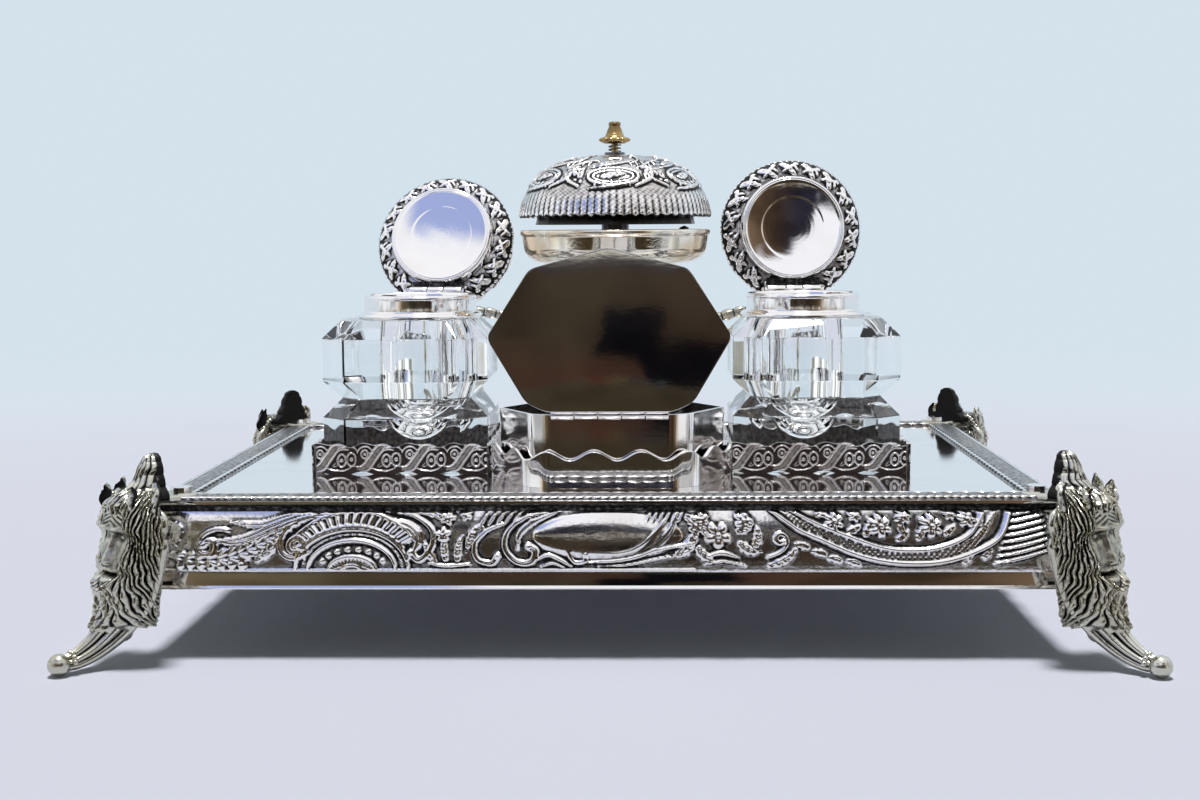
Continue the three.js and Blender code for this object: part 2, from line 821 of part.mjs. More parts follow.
// A bottle with its collar and lid. Its neck and well stand a little nearer the middle of the tray.
function buildBottle(side, openAngle, turnAngle) {
  const label = side < 0 ? "left" : "right";
  const stand = group(inkstand, side * bottleX, bottleY, trayTop);
  const neckX = -side * neckShift;
  const neck = glassNeck().translate([neckX, 0, 0]);
  const well = inkWell().translate([neckX, 0, 0]);
  addPiece(stand, `bottle_${label}`, glassBody().add(neck).subtract(well), cutGlass);
  const mount = group(stand, neckX, 0, bottleTop);
  mount.rotation.z = turnAngle * degree;
  const third = barrelLength / 3;
  const webDepth = lidHingeOut + collarTopWall / 2;
  const ears = [-third, third].map((x) => {
    const web = block(third, webDepth, leafThick, x, -webDepth / 2, -leafThick);
    return knuckle(barrelRadius, barrelBore, x - third / 2, x + third / 2, web);
  });
  const barrel = joined(...ears).translate([0, hingeReach, collarHeight]);
  const above = collarHeight + cutOverrun;
  const mouthCut = cylinder(collarRadius - collarTopWall, 0, above, roundSteps);
  const collar = collarBody().add(barrel.subtract(mouthCut));
  addPiece(mount, `collar_${label}`, collar, silver);
  const hinge = group(mount, 0, hingeReach, collarHeight);
  const pinEnd = barrelLength / 2 + fitGap;
  const pin = joined(
    crossBar(pinRadius, -pinEnd - pinHeadThick, pinEnd + pinHeadThick, 0, 0),
    crossBar(pinHead, -pinEnd - pinHeadThick, -pinEnd, 0, 0),
    crossBar(pinHead, pinEnd, pinEnd + pinHeadThick, 0, 0),
  );
  addPiece(hinge, `lid_pin_${label}`, pin, silver);
  const lid = group(hinge, 0, 0, 0);
  lid.rotation.x = -openAngle * degree;
  addPiece(lid, `lid_dish_${label}`, dishBody(), silver);
  addPiece(lid, `lid_dome_${label}`, lidDomeBody(), chasedSilver);
}

// Box, with y as the depth from its hinge side

// Each corner of the lid's right half as [x, depth, its facets' offsets in shares of the rounding].
const boxCornerShares = [
  [boxShoulderX, boxShoulderDepth, [[-0.5, -0.5], [0.33, 0.5]]],
  [boxTipX, boxTipDepth, [[-0.6, -1.2], [0, 0], [-0.6, 1.2]]],
  [boxFarX, boxFarDepth, [[0.7, -0.7], [-0.5, 0.5]]],
];
const boxFarBowShare = 0.78;

// The lid's outline, from the hinge side round by the right, with rounded corners.
function boxOutline() {
  const right = [[boxHingeSide / 2, 0]];
  boxCornerShares.forEach(([cornerX, cornerY, facets]) => facets.forEach(([x, y]) => {
    right.push([cornerX + x * boxTipRound, cornerY + y * boxTipRound]);
  }));
  right.push([boxFarX / 2, boxFarDepth + (boxDepth - boxFarDepth) * boxFarBowShare]);
  const left = right.slice().reverse().map(([x, y]) => [-x, y]);
  return [...right, [0, boxDepth], ...left].map(([x, y]) => new THREE.Vector2(x, y));
}

// Rings of the lid's dome as shares of its outline, and how much smaller its underside is
const boxDomeShares = [0.94, 0.72, 0.45, 0.18];
const boxUnderShare = 0.97;
const boxUnderRimShare = 0.96;

const boxBarrelOut = boxBarrelRadius + fitGap;
const boxBodyOutline = inset(boxOutline(), boxLidOverhang);

// Spans of the hinge's knuckles; the even ones belong to the box and the odd ones to its lid.
function boxKnuckleSpans() {
  const length = boxBarrelLength / boxBarrelKnuckles;
  return Array.from({ length: boxBarrelKnuckles }, (_, i) => {
    const from = -boxBarrelLength / 2 + length * i;
    return [from + (i ? fitGap / 2 : 0), from + length - (i + 1 < boxBarrelKnuckles ? fitGap / 2 : 0)];
  });
}

function buildBox() {
  const holder = group(inkstand, boxX, boxFront, trayTop);
  const innerOutline = inset(boxBodyOutline, boxWall);
  const cup = lofted([
    ringAt(boxBodyOutline, 0),
    ringAt(boxBodyOutline, boxHeight),
    ringAt(innerOutline, boxHeight),
    ringAt(innerOutline, boxFloor),
  ]);
  const axisY = boxLidOverhang - boxBarrelOut;
  const axisZ = boxHeight + fitGap;
  const spans = boxKnuckleSpans();
  const webDepth = boxBarrelOut + boxWall / 2;
  const webBottom = -boxBarrelRadius - fitGap;
  const bodyKnuckles = spans.filter((_, i) => i % 2 === 0).map(([from, to]) => {
    const middleX = (from + to) / 2;
    const web = block(to - from, webDepth, boxBarrelRadius, middleX, webDepth / 2, webBottom);
    return knuckle(boxBarrelRadius, boxBarrelBore, from, to, web);
  });
  const barrel = joined(...bodyKnuckles).translate([0, axisY, axisZ]);
  addPiece(holder, "box_body", cup.add(barrel), silver);

  const hinge = group(holder, 0, axisY, axisZ);
  const pinEnd = boxBarrelLength / 2;
  addPiece(hinge, "box_hinge_pin", crossBar(boxPinRadius, -pinEnd, pinEnd, 0, 0), silver);

  const lid = group(hinge, 0, 0, 0);
  lid.rotation.x = boxLidOpen * degree;
  const outline = boxOutline().map((point) => point.clone().add(new THREE.Vector2(0, -axisY)));
  const middle = new THREE.Vector2(0, boxDepth / 2 - axisY);
  const scaled = (share, z) => outline.map((point) => {
    const moved = middle.clone().lerp(point, share);
    return new THREE.Vector3(moved.x, moved.y, z);
  });
  const rise = (share) => boxLidDome * (1 - share ** 2);
  const underTop = boxLidEdge / 4;
  const overBottom = boxLidEdge + boxLidSheet / 4;
  const under = boxDomeShares.map((share) => scaled(share * boxUnderShare, rise(share) + underTop));
  const over = boxDomeShares.map((share) => scaled(share, rise(share) + overBottom));
  const rim = [scaled(boxUnderRimShare, 0), scaled(1, 0), scaled(1, boxLidEdge)];
  let plate = lofted([...under.reverse(), ...rim, ...over]);
  const clear = boxBarrelRadius + fitGap;
  plate = plate.subtract(crossBar(clear, -pinEnd - fitGap, pinEnd + fitGap, 0, 0, smallRoundSteps));
  plate = plate.subtract(block(boxBarrelLength + 2 * fitGap, 2 * clear, cutOverrun, 0, 0, -cutOverrun / 2));
  const lidKnuckles = spans.filter((_, i) => i % 2 === 1).map(([from, to]) => {
    const webDepth = boxBarrelOut + boxLidOverhang + boxWall;
    const web = block(to - from, webDepth, boxLidEdge, (from + to) / 2, webDepth / 2, 0);
    return knuckle(boxBarrelRadius, boxBarrelBore, from, to, web);
  });
  addPiece(lid, "box_lid", joined(plate, ...lidKnuckles), silver);
}

function buildBoxGallery() {
  const holder = group(inkstand, boxX, boxFront, trayTop);
  const corners8 = inset(boxBodyOutline, -boxGalleryFit);
  const perSide = 5;
  const inner = [];
  corners8.forEach((point, i) => {
    const next = corners8[(i + 1) % corners8.length];
    const steps = point.distanceTo(next) > boxGalleryWaveLength ? perSide * 2 : 1;
    for (let k = 0; k < steps; k += 1) {
      inner.push(point.clone().lerp(next, k / steps));
    }
  });
  const outer = inset(inner, -boxGalleryWall);
  let along = 0;
  const heights = inner.map((point, i) => {
    const height = boxGalleryHeight + boxGalleryWave * Math.cos((2 * Math.PI * along) / boxGalleryWaveLength);
    along += point.distanceTo(inner[(i + 1) % inner.length]);
    return height;
  });
  const lift = (outline) => outline.map((point, i) => new THREE.Vector3(point.x, point.y, heights[i]));
  const wall = lofted([ringAt(outer, 0), lift(outer)])
    .subtract(lofted([ringAt(inner, -cutOverrun), ringAt(inner, 0), lift(inner).map(
      (point) => point.clone().setZ(point.z + cutOverrun),
    )]));
  addPiece(holder, "box_gallery", wall, silver);
}

// Bell

// The pillar's shaft as [share of the knop's radius, share of the pillar's height].
const pillarShares = [
  [0.72, 0.095], [0.51, 0.22], [0.8, 0.34], [1, 0.42], [0.8, 0.5], [0.51, 0.6], [0.51, 0.82],
];
const pillarStepShare = 0.7;

function buildPillar() {
  const holder = group(inkstand, bellX, bellY, trayTop);
  const seat = bellCupBottom;
  const pillar = turned([
    [0, -traySheet - pillarNutHeight - nutStudShow],
    [pillarStudRadius, -traySheet - pillarNutHeight - nutStudShow],
    [pillarStudRadius, 0],
    [pillarBaseRadius, 0],
    [pillarBaseRadius, pillarBaseHeight / 2],
    [pillarBaseRadius * pillarStepShare, pillarBaseHeight],
    ...pillarShares.map(([out, up]) => [pillarKnopRadius * out, seat * up]),
    [pillarTopRadius, seat - pillarBaseHeight / 2],
    [pillarTopRadius, seat],
    [postStudRadius + fitGap, seat],
    [postStudRadius + fitGap, seat - postStudDrop - fitGap],
    [0, seat - postStudDrop - fitGap],
  ], smallRoundSteps);
  addPiece(holder, "bell_pillar", pillar, silver);
  const under = nut(pillarNutRadius, pillarStudRadius, -traySheet, pillarNutHeight, 0, 0);
  addPiece(holder, "bell_pillar_nut", under, steel);
}

// The cup's wall outside and inside, as [share of its radius, share of its height].
const cupOuterShares = [[0.87, 0.14], [0.965, 0.34], [1, 0.56], [1, 1]];
const cupInnerShares = [[1, 1], [1, 0.6], [0.965, 0.42], [0.87, 0.25]];

function buildBellCup(holder) {
  const hole = postStudRadius + fitGap;
  const wall = (shares, sheet) => shares.map(
    ([out, up]) => [bellCupRadius * out - sheet, bellCupHeight * up],
  );
  const cup = turned([
    [hole, 0],
    [bellCupFoot, 0],
    ...wall(cupOuterShares, 0),
    ...wall(cupInnerShares, bellCupSheet),
    [bellCupFoot - bellCupSheet, bellCupSheet],
    [hole, bellCupSheet],
    [hole, 0],
  ], bellSteps);
  addPiece(holder, "bell_cup", cup, silver);
}

// Heights inside the bell are measured from the underside of its cup.
const gongLift = gongBottom - bellCupBottom;
const domeLift = domeBottom - bellCupBottom;
const gongSeat = gongLift + gongHeight - gongSheet - fitGap;
const domeCrown = domeLift + domeHeight;
const domeSeat = domeCrown - domeSheet - fitGap;
const postTop = domeCrown + domeNutHeight;

function buildBellPost(holder) {
  const floor = bellCupSheet;
  const body = turned([
    [0, -postStudDrop],
    [postStudRadius, -postStudDrop],
    [postStudRadius, floor],
    [postFlangeRadius, floor],
    [postFlangeRadius, floor + postFlangeHeight],
    [postRadius, floor + postFlangeHeight],
    [postRadius, gongSeat],
    [postNeckRadius, gongSeat],
    [postNeckRadius, domeSeat],
    [postTipRadius, domeSeat],
    [postTipRadius, postTop],
    [0, postTop],
  ], smallRoundSteps);
  const slotWidth = hammerArmWidth + 2 * fitGap;
  const pivot = floor + hammerPivotHeight;
  const slotHeight = hammerArmThick * 3 + knobTravel * 2;
  const slotBottom = pivot - slotHeight / 2;
  const bore = cylinder(postBore, slotBottom, postTop + cutOverrun, smallRoundSteps);
  const slotReach = postRadius + cutOverrun;
  const slot = block(slotReach, slotWidth, slotHeight, slotReach / 2 - postBore, 0, slotBottom);
  const earOffset = (hammerArmWidth + hammerEarThick) / 2 + fitGap;
  const earHeight = hammerPivotHeight + hammerPinRadius + hammerEarThick;
  const ears = [-1, 1].map((side) => block(
    hammerPinRadius * 2 + hammerEarThick * 2,
    hammerEarThick,
    earHeight,
    hammerPivotReach,
    side * earOffset,
    floor,
  ));
  const pinHole = depthBar(hammerPinRadius + fitGap, postFlangeRadius * 2)
    .translate([hammerPivotReach, 0, pivot]);
  const bridge = block(
    hammerPivotReach,
    2 * (earOffset + hammerEarThick / 2),
    postFlangeHeight,
    hammerPivotReach / 2 + hammerPinRadius + hammerEarThick,
    0,
    floor,
  );
  const post = joined(body, bridge, ...ears).subtract(bore).subtract(slot).subtract(pinHole);
  addPiece(holder, "bell_post", post, steel);
  const pin = depthBar(hammerPinRadius, 2 * (earOffset + hammerEarThick));
  addPiece(holder, "hammer_pin", pin.translate([hammerPivotReach, 0, pivot]), steel);
}

// The hammer's arm, from under the plunger to the head, with its pivot as the origin.
function buildHammer(holder) {
  const pivot = bellCupSheet + hammerPivotHeight;
  const mount = group(holder, hammerPivotReach, 0, pivot);
  const inward = hammerPivotReach + plungerRadius;
  const reach = hammerReach - hammerPivotReach;
  const under = -hammerArmThick / 2;
  const length = inward + reach;
  const middle = (reach - inward) / 2;
  const bar = block(length, hammerArmWidth, hammerArmThick, middle, 0, under);
  const riser = block(hammerArmThick, hammerArmWidth, hammerRise, reach + under, 0, under);
  const head = ball(hammerHeadRadius, hammerHeadRadius, hammerHeadRadius, reach, 0, hammerRise);
  const boss = depthBar(hammerPinRadius + hammerEarThick, hammerArmWidth, smallRoundSteps);
  const hole = depthBar(hammerPinRadius + fitGap, cutOverrun);
  const arm = joined(bar, riser, head, boss).subtract(hole);
  addPiece(mount, "bell_hammer", arm, steel);
}

// A bowl turned upside down: a sheet of even thickness with a hole in its crown. Every other point
// of its edge is raised by the scallop. The power of the cosine makes its shoulder full.
function bowl(radius, height, sheet, hole, steps, scallop, power) {
  const rings = 5;
  const ringOf = (across, z, lift) => Array.from({ length: steps }, (_, i) => {
    const angle = (2 * Math.PI * i) / steps;
    return new THREE.Vector3(across * Math.cos(angle), across * Math.sin(angle), z + (i % 2 ? lift : 0));
  });
  const outer = [];
  const inner = [];
  for (let i = 0; i <= rings; i += 1) {
    const angle = quarterTurn * (i / rings);
    const across = Math.cos(angle) ** power;
    const lift = i ? 0 : scallop;
    outer.push(ringOf(Math.max(radius * across, hole), height * Math.sin(angle), lift));
    inner.push(ringOf(Math.max((radius - sheet) * across, hole), (height - sheet) * Math.sin(angle), lift));
  }
  return lofted([...outer, ...inner.reverse()], true);
}

function buildGongAndCover(holder) {
  const gong = bowl(gongRadius, gongHeight, gongSheet, postNeckRadius + fitGap, roundSteps, 0, fullShoulder);
  addPiece(holder, "bell_gong", gong, bellMetal).position.z = gongLift;
  const hole = postTipRadius + fitGap;
  const cover = bowl(domeRadius, domeHeight, domeSheet, hole, domeScallops * 2, domeScallop, fullShoulder);
  addPiece(holder, "bell_cover", cover, chasedSilver).position.z = domeLift;
  const ring = cylinder(domeNutRadius, domeCrown, postTop)
    .subtract(cylinder(postTipRadius + fitGap, domeCrown - cutOverrun, postTop + cutOverrun));
  addPiece(holder, "bell_cover_nut", ring, steel);
}

const knobUnder = knobBottom - bellCupBottom;

// The knob's flange and cone as [radius, share of its height].
const knobShares = [
  [knobRadius, 0],
  [knobFlangeRadius, 0.14],
  [knobFlangeRadius, 0.28],
  [knobRadius, 0.34],
  [(knobRadius + knobTipRadius) / 2, 0.5],
  [knobTipRadius, 0.8],
  [knobTipRadius, 1],
];

function buildKnob(holder) {
  const pivot = bellCupSheet + hammerPivotHeight;
  const rodBottom = pivot + hammerArmThick / 2 + fitGap;
  const top = knobTop - bellCupBottom;
  const height = top - knobUnder;
  const knob = turned([
    [0, rodBottom],
    [plungerRadius, rodBottom],
    [plungerRadius, knobUnder],
    ...knobShares.map(([radius, share]) => [radius, knobUnder + height * share]),
    [0, top],
  ], smallRoundSteps);
  addPiece(holder, "bell_knob", knob, brass);
}

// The least gap between two turns of a wire along a path, measured on points a turn apart or so.
function leastGapToItself(path, turns, radius) {
  const perTurn = springStepsPerTurn * 4;
  const points = path.getPoints(turns * perTurn);
  let least = Infinity;
  points.forEach((point, i) => points.slice(i + perTurn / 2).forEach((other) => {
    least = Math.min(least, point.distanceTo(other));
  }));
  return least - 2 * radius;
}

function buildSpring(holder) {
  const low = postTop + springWire + fitGap / 2;
  const high = knobUnder - springWire - fitGap / 2;
  class Coil extends THREE.Curve {
    getPoint(t, target = new THREE.Vector3()) {
      const angle = 2 * Math.PI * springTurns * t;
      const x = springRadius * Math.cos(angle);
      const y = springRadius * Math.sin(angle);
      return target.set(x, y, low + (high - low) * t);
    }
  }
  const coil = new Coil();
  const gap = leastGapToItself(coil, springTurns, springWire);
  console.log(`knob_spring: least gap between its turns ${gap.toFixed(2)} mm`);
  const wire = swept(coil, springWire, springSides, springTurns * springStepsPerTurn);
  addPiece(holder, "knob_spring", wire, steel);
}

// Pen rest

// The post above its base as [share of its radius, share of its height].
const penPostShares = [
  [1, 0.09], [1, 0.3], [1.7, 0.36], [1, 0.42], [1, 0.6], [1.7, 0.66], [1, 0.72], [1, 0.9],
];
const penPostHeadShare = 1.5;
const penPostStepShare = 0.55;

function buildPenRest() {
  const holder = group(inkstand, 0, penRestY, trayTop);
  [["left", -penPostX], ["right", penPostX]].forEach(([label, x]) => {
    const top = penRailHeight - penRailRadius;
    const post = turned([
      [0, -traySheet - penNutHeight - nutStudShow],
      [penStudRadius, -traySheet - penNutHeight - nutStudShow],
      [penStudRadius, 0],
      [penPostBase, 0],
      [penPostBase, penPostBaseHeight / 2],
      [penPostBase * penPostStepShare, penPostBaseHeight],
      ...penPostShares.map(([out, up]) => [penPostRadius * out, top * up]),
      [penPostRadius * penPostHeadShare, top - fitGap],
      [0, top - fitGap],
    ], pinSteps);
    addPiece(group(holder, x, 0, 0), `pen_post_${label}`, post, castSilver);
    const under = nut(penNutRadius, penStudRadius, -traySheet, penNutHeight, x, 0);
    addPiece(holder, `pen_nut_${label}`, under, steel);
  });
  const half = penPostX + penRailOverhang;
  const points = [];
  const count = 24;
  for (let i = 0; i <= count; i += 1) {
    const x = -half + (2 * half * i) / count;
    const dip = (penRailDip * (1 - Math.cos((2 * Math.PI * (x - penPostX)) / penPostX))) / 2;
    points.push(new THREE.Vector3(x, 0, penRailHeight - (Math.abs(x) < penPostX ? dip : 0)));
  }
  const rail = swept(new THREE.CatmullRomCurve3(points), penRailRadius, 6, 32);
  addPiece(holder, "pen_rail", rail, castSilver);
}

buildTray();
buildRopeBorder();
corners.forEach(([place, sideX, sideY]) => buildFoot(`foot_${place}`, sideX, sideY));
buildFootScrews();
buildGallery("gallery_left", -1);
buildGallery("gallery_right", 1);
buildBottle(-1, leftLidOpen, leftCollarTurn);
buildBottle(1, rightLidOpen, rightCollarTurn);
buildBoxGallery();
buildBox();
buildPillar();
const bell = group(inkstand, bellX, bellY, trayTop + bellCupBottom);
buildBellCup(bell);
buildBellPost(bell);
buildHammer(bell);
buildGongAndCover(bell);
buildKnob(bell);
buildSpring(bell);
buildPenRest();

export default inkstand;
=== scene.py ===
"""A silver inkstand dressed in fine surfaces and finishes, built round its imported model.

Shapes are worked out in millimetres with numpy, as functions of two parameters on a grid, and are
placed in metres. +X runs along the tray, +Y away from the viewer and +Z up.
"""

import json
import math
from collections import namedtuple

import bpy
import numpy as np
from mathutils import Matrix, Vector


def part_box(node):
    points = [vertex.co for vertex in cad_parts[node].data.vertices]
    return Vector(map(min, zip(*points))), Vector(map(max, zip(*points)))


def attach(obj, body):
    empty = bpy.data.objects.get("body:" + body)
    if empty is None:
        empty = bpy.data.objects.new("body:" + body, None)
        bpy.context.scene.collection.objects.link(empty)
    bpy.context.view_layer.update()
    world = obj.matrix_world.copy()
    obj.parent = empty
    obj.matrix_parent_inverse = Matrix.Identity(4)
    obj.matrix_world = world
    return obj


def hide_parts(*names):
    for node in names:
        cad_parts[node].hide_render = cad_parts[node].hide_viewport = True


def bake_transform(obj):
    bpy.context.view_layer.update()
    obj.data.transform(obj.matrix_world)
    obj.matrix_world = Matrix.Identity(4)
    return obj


bl_info = {
    "name": "Silver Inkstand",
    "version": (1, 0, 0),
    "blender": (4, 5, 0),
    "location": "View3D > Sidebar > Inkstand",
    "description": "Builds the surfaces and finishes of a footed silver inkstand",
    "category": "Add Mesh",
}

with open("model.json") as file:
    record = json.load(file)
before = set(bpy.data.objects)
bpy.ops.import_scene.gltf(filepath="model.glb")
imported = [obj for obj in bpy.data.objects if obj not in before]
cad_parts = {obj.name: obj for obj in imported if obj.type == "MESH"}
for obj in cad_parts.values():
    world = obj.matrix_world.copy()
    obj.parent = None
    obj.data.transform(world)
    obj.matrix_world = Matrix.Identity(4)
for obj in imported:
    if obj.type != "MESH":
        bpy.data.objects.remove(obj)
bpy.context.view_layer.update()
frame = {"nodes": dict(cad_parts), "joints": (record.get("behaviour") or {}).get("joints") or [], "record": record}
BODIES = {node: body for body, nodes in frame["record"]["behaviour"]["bodies"].items() for node in nodes}
JOINTS = {joint["name"]: joint for joint in frame["joints"]}

MM = 0.001
TURN = 2 * math.pi
ON_AXIS = 1e-6
FLOURISH_STEPS = 48
SEAT_GAP = 0.02

Shell = namedtuple("Shell", "points quads triangles wear")


# Reading the frame

def node_box(name):
    """The lowest and highest corner of a CAD node, in millimetres."""
    low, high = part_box(name)
    return np.array(low) / MM, np.array(high) / MM


def node_axis(name):
    """A CAD node's middle as seen from above, and its lowest and highest level."""
    low, high = node_box(name)
    return *((low + high) / 2)[:2], low[2], high[2]


def hinge_place(name):
    """A hinge's point in millimetres, its axis' turn about Z and how far open its lid stands, in radians."""
    joint = JOINTS[name]
    axis = joint["axis"]
    turn = math.atan2(axis[1] * math.copysign(1, axis[0]), abs(axis[0]))
    return np.array(joint["pos_m"]) / MM, turn, math.radians(joint["range_deg"][1])


TRAY_TOP = node_axis("tray_shell")[3]


# Grids, profiles and paths

def sheet(points, around=False, loop=False, first=None, last=None, wear=None):
    """Faces between neighbouring points of a grid of rows and columns. Columns close on themselves
    when around is true, and rows when loop is true. A hub point closes the first or last row."""
    rows, columns = points.shape[:2]
    index = np.arange(rows * columns).reshape(rows, columns)
    if around:
        index = np.concatenate((index, index[:, :1]), 1)
    if loop:
        index = np.concatenate((index, index[:1]), 0)
    quads = np.stack((index[:-1, :-1], index[:-1, 1:], index[1:, 1:], index[1:, :-1]), -1).reshape(-1, 4)
    flat = points.reshape(-1, 3)
    worn = np.ones(rows * columns) if wear is None else np.broadcast_to(wear, (rows, columns)).reshape(-1)
    triangles = np.zeros((0, 3), int)
    for hub, row, flip in ((first, 0, True), (last, -1, False)):
        if hub is None:
            continue
        ring = index[row]
        hub_point = points[row].mean(0) if hub is True else np.asarray(hub, float)
        fan = np.stack((np.full(len(ring) - 1, len(flat)), ring[:-1], ring[1:]), -1)
        triangles = np.concatenate((triangles, fan[:, ::-1] if flip else fan))
        worn = np.append(worn, worn.reshape(-1)[ring[:-1]].mean())
        flat = np.concatenate((flat, hub_point[None]))
    return Shell(flat, quads, triangles, worn)


def outward(shell):
    """A closed shell with its faces pointing out: turned over when the volume it encloses is negative."""
    p = shell.points
    corners = np.concatenate((shell.quads[:, :3], shell.quads[:, [0, 2, 3]], shell.triangles))
    volume = np.einsum("ij,ij->i", p[corners[:, 0]], np.cross(p[corners[:, 1]], p[corners[:, 2]])).sum()
    if volume > 0:
        return shell
    return Shell(p, shell.quads[:, ::-1], shell.triangles[:, ::-1], shell.wear)


def solid(rings, wear=None):
    """A closed shell through rings of points, with a face over each end."""
    return outward(sheet(rings, True, False, True, True, wear))


def at_height(ring, z):
    """A plane outline put at a height."""
    return np.column_stack((ring, np.full(len(ring), z)))


def unit(vectors):
    return vectors / np.linalg.norm(vectors, axis=-1, keepdims=True)


def moved(shell, offset):
    return shell._replace(points=shell.points + np.asarray(offset, float))


def turn_matrix(angle, axis):
    """The matrix that turns a row of points about one of the axes."""
    return np.array(Matrix.Rotation(angle, 3, axis))


def turned_by(shell, angle, axis="Z"):
    return shell._replace(points=shell.points @ turn_matrix(angle, axis).T)


def filleted(points, radius, steps=3, closed=False):
    """A polyline whose corners are replaced by small curves: each is the quadratic curve between the
    points a radius before and after the corner, or almost half way along a shorter side."""
    p = np.asarray(points, float)
    before = np.roll(p, 1, 0)
    after = np.roll(p, -1, 0)
    back = before - p
    ahead = after - p
    back_length = np.linalg.norm(back, axis=1, keepdims=True)
    ahead_length = np.linalg.norm(ahead, axis=1, keepdims=True)
    start = p + back * np.minimum(radius / np.maximum(back_length, 1e-9), 0.45)
    end = p + ahead * np.minimum(radius / np.maximum(ahead_length, 1e-9), 0.45)
    t = np.linspace(0, 1, steps + 1)[None, :, None]
    curves = (1 - t) ** 2 * start[:, None] + 2 * t * (1 - t) * p[:, None] + t ** 2 * end[:, None]
    if closed:
        return curves.reshape(-1, p.shape[1])
    inner = curves[1:-1].reshape(-1, p.shape[1])
    return np.concatenate((p[:1], inner, p[-1:]))


def resampled(path, count):
    """Points at equal steps of length along a polyline."""
    path = np.asarray(path, float)
    along = np.concatenate(([0], np.cumsum(np.linalg.norm(np.diff(path, axis=0), axis=1))))
    places = np.linspace(0, along[-1], count)
    return np.stack([np.interp(places, along, path[:, k]) for k in range(path.shape[1])], -1)


def smooth_path(points, count):
    """A smooth curve through points: each stretch is the cubic whose slope at a point is half the
    difference of that point's neighbours."""
    p = np.asarray(points, float)
    padded = np.concatenate((2 * p[:1] - p[1:2], p, 2 * p[-1:] - p[-2:-1]))
    place = np.linspace(0, len(p) - 1, count)
    k = np.minimum(place.astype(int), len(p) - 2)
    t = (place - k)[:, None]
    a, b, c, d = padded[k], padded[k + 1], padded[k + 2], padded[k + 3]
    return 0.5 * (2 * b + (c - a) * t + (2 * a - 5 * b + 4 * c - d) * t ** 2
                  + (3 * b - a - 3 * c + d) * t ** 3)


def flourish(start, heading, length, bends):
    """A plane curve whose bend, in turns per millimetre, runs evenly through the given values: the
    heading is the sum of the bends along it, and the place is the sum of the headings."""
    step = length / (FLOURISH_STEPS - 1)
    share = np.linspace(0, 1, FLOURISH_STEPS)
    bend = np.interp(share, np.linspace(0, 1, len(bends)), bends) * TURN
    heading = math.radians(heading) + np.cumsum(bend) * step
    steps = np.stack((np.cos(heading), np.sin(heading)), -1) * step
    return np.asarray(start, float) + np.cumsum(steps, 0)


def oval(centre, radii, begin, end, count=64):
    """An arc of an ellipse from one angle to another, in degrees."""
    angle = np.radians(np.linspace(begin, end, count))
    return np.stack((centre[0] + radii[0] * np.cos(angle), centre[1] + radii[1] * np.sin(angle)), -1)


def pointed(profile):
    """A profile of radius and height points whose ends are put on the axis."""
    profile[0, 0] = profile[-1, 0] = 0
    return profile


def revolved(profile, steps):
    """A profile of radius and height points turned about Z. An end on the axis becomes a pole."""
    first = last = None
    if profile[0, 0] < ON_AXIS:
        first = (0, 0, profile[0, 1])
        profile = profile[1:]
    if profile[-1, 0] < ON_AXIS:
        last = (0, 0, profile[-1, 1])
        profile = profile[:-1]
    angle = np.linspace(0, TURN, steps, endpoint=False)
    radius = profile[:, :1]
    points = np.stack((radius * np.cos(angle), radius * np.sin(angle), profile[:, 1:] + 0 * angle), -1)
    loop = first is None and last is None
    return outward(sheet(points, True, loop, first, last))


def carried(path, section, side, wear=None):
    """A section of offsets carried along a path: the first offset lies across the path, square to
    side, and the second along side. The ends are closed."""
    side = np.broadcast_to(np.asarray(side, float), path.shape)
    across = unit(np.cross(side, unit(np.gradient(path, axis=0))))
    return wrapped(path, section, across, side, wear)


def wrapped(path, section, first, second, wear):
    """A shell whose rings lie round a path: each offset is laid off along two directions."""
    return solid(path[:, None] + section[..., :1] * first[:, None] + section[..., 1:] * second[:, None], wear)


def across_path(path, side):
    """Two directions across a path: side turned square to the path, and the one square to both."""
    tangent = unit(np.gradient(path, axis=0))
    side = np.asarray(side, float)
    sideways = unit(side[None] - tangent * (tangent @ side)[:, None])
    return sideways, np.cross(sideways, tangent)


def round_section(radius, sides=12, flat=1.0, flutes=0, cut=0.0, twist=0.0):
    """A ring of offsets for each radius. Flutes cut it with a cosine round the ring, turned by twist
    from one end to the other, and flat squeezes it along its second axis."""
    angle = np.linspace(0, TURN, sides, endpoint=False)[None]
    shift = np.linspace(0, twist, len(radius))[:, None]
    r = radius[:, None] * (1 + cut * (2 * np.abs(np.cos((flutes * angle + shift) / 2)) ** 0.8 - 1))
    return np.stack((r * np.cos(angle), flat * r * np.sin(angle)), -1)


def blurred(height, reach):
    """A height field averaged with its neighbours, a number of times, along rows and columns."""
    out = height
    for _ in range(reach):
        padded = np.pad(out, 1, mode="edge")
        out = (padded[:-2, 1:-1] + padded[2:, 1:-1] + padded[1:-1, :-2] + padded[1:-1, 2:]
               + 4 * padded[1:-1, 1:-1]) / 8
    return out


def high_spots(height, reach, strength):
    """How far each place stands above its neighbourhood, from 0 in the recesses to 1 on the high points."""
    return np.clip(0.5 + (height - blurred(height, reach)) * strength, 0, 1)


def bump_at(a, b, centre, size, height):
    """A round swelling in two coordinates: the height times a bell curve of the distance."""
    return height * np.exp(-((a - centre[0]) / size[0]) ** 2 - ((b - centre[1]) / size[1]) ** 2)


# Making objects

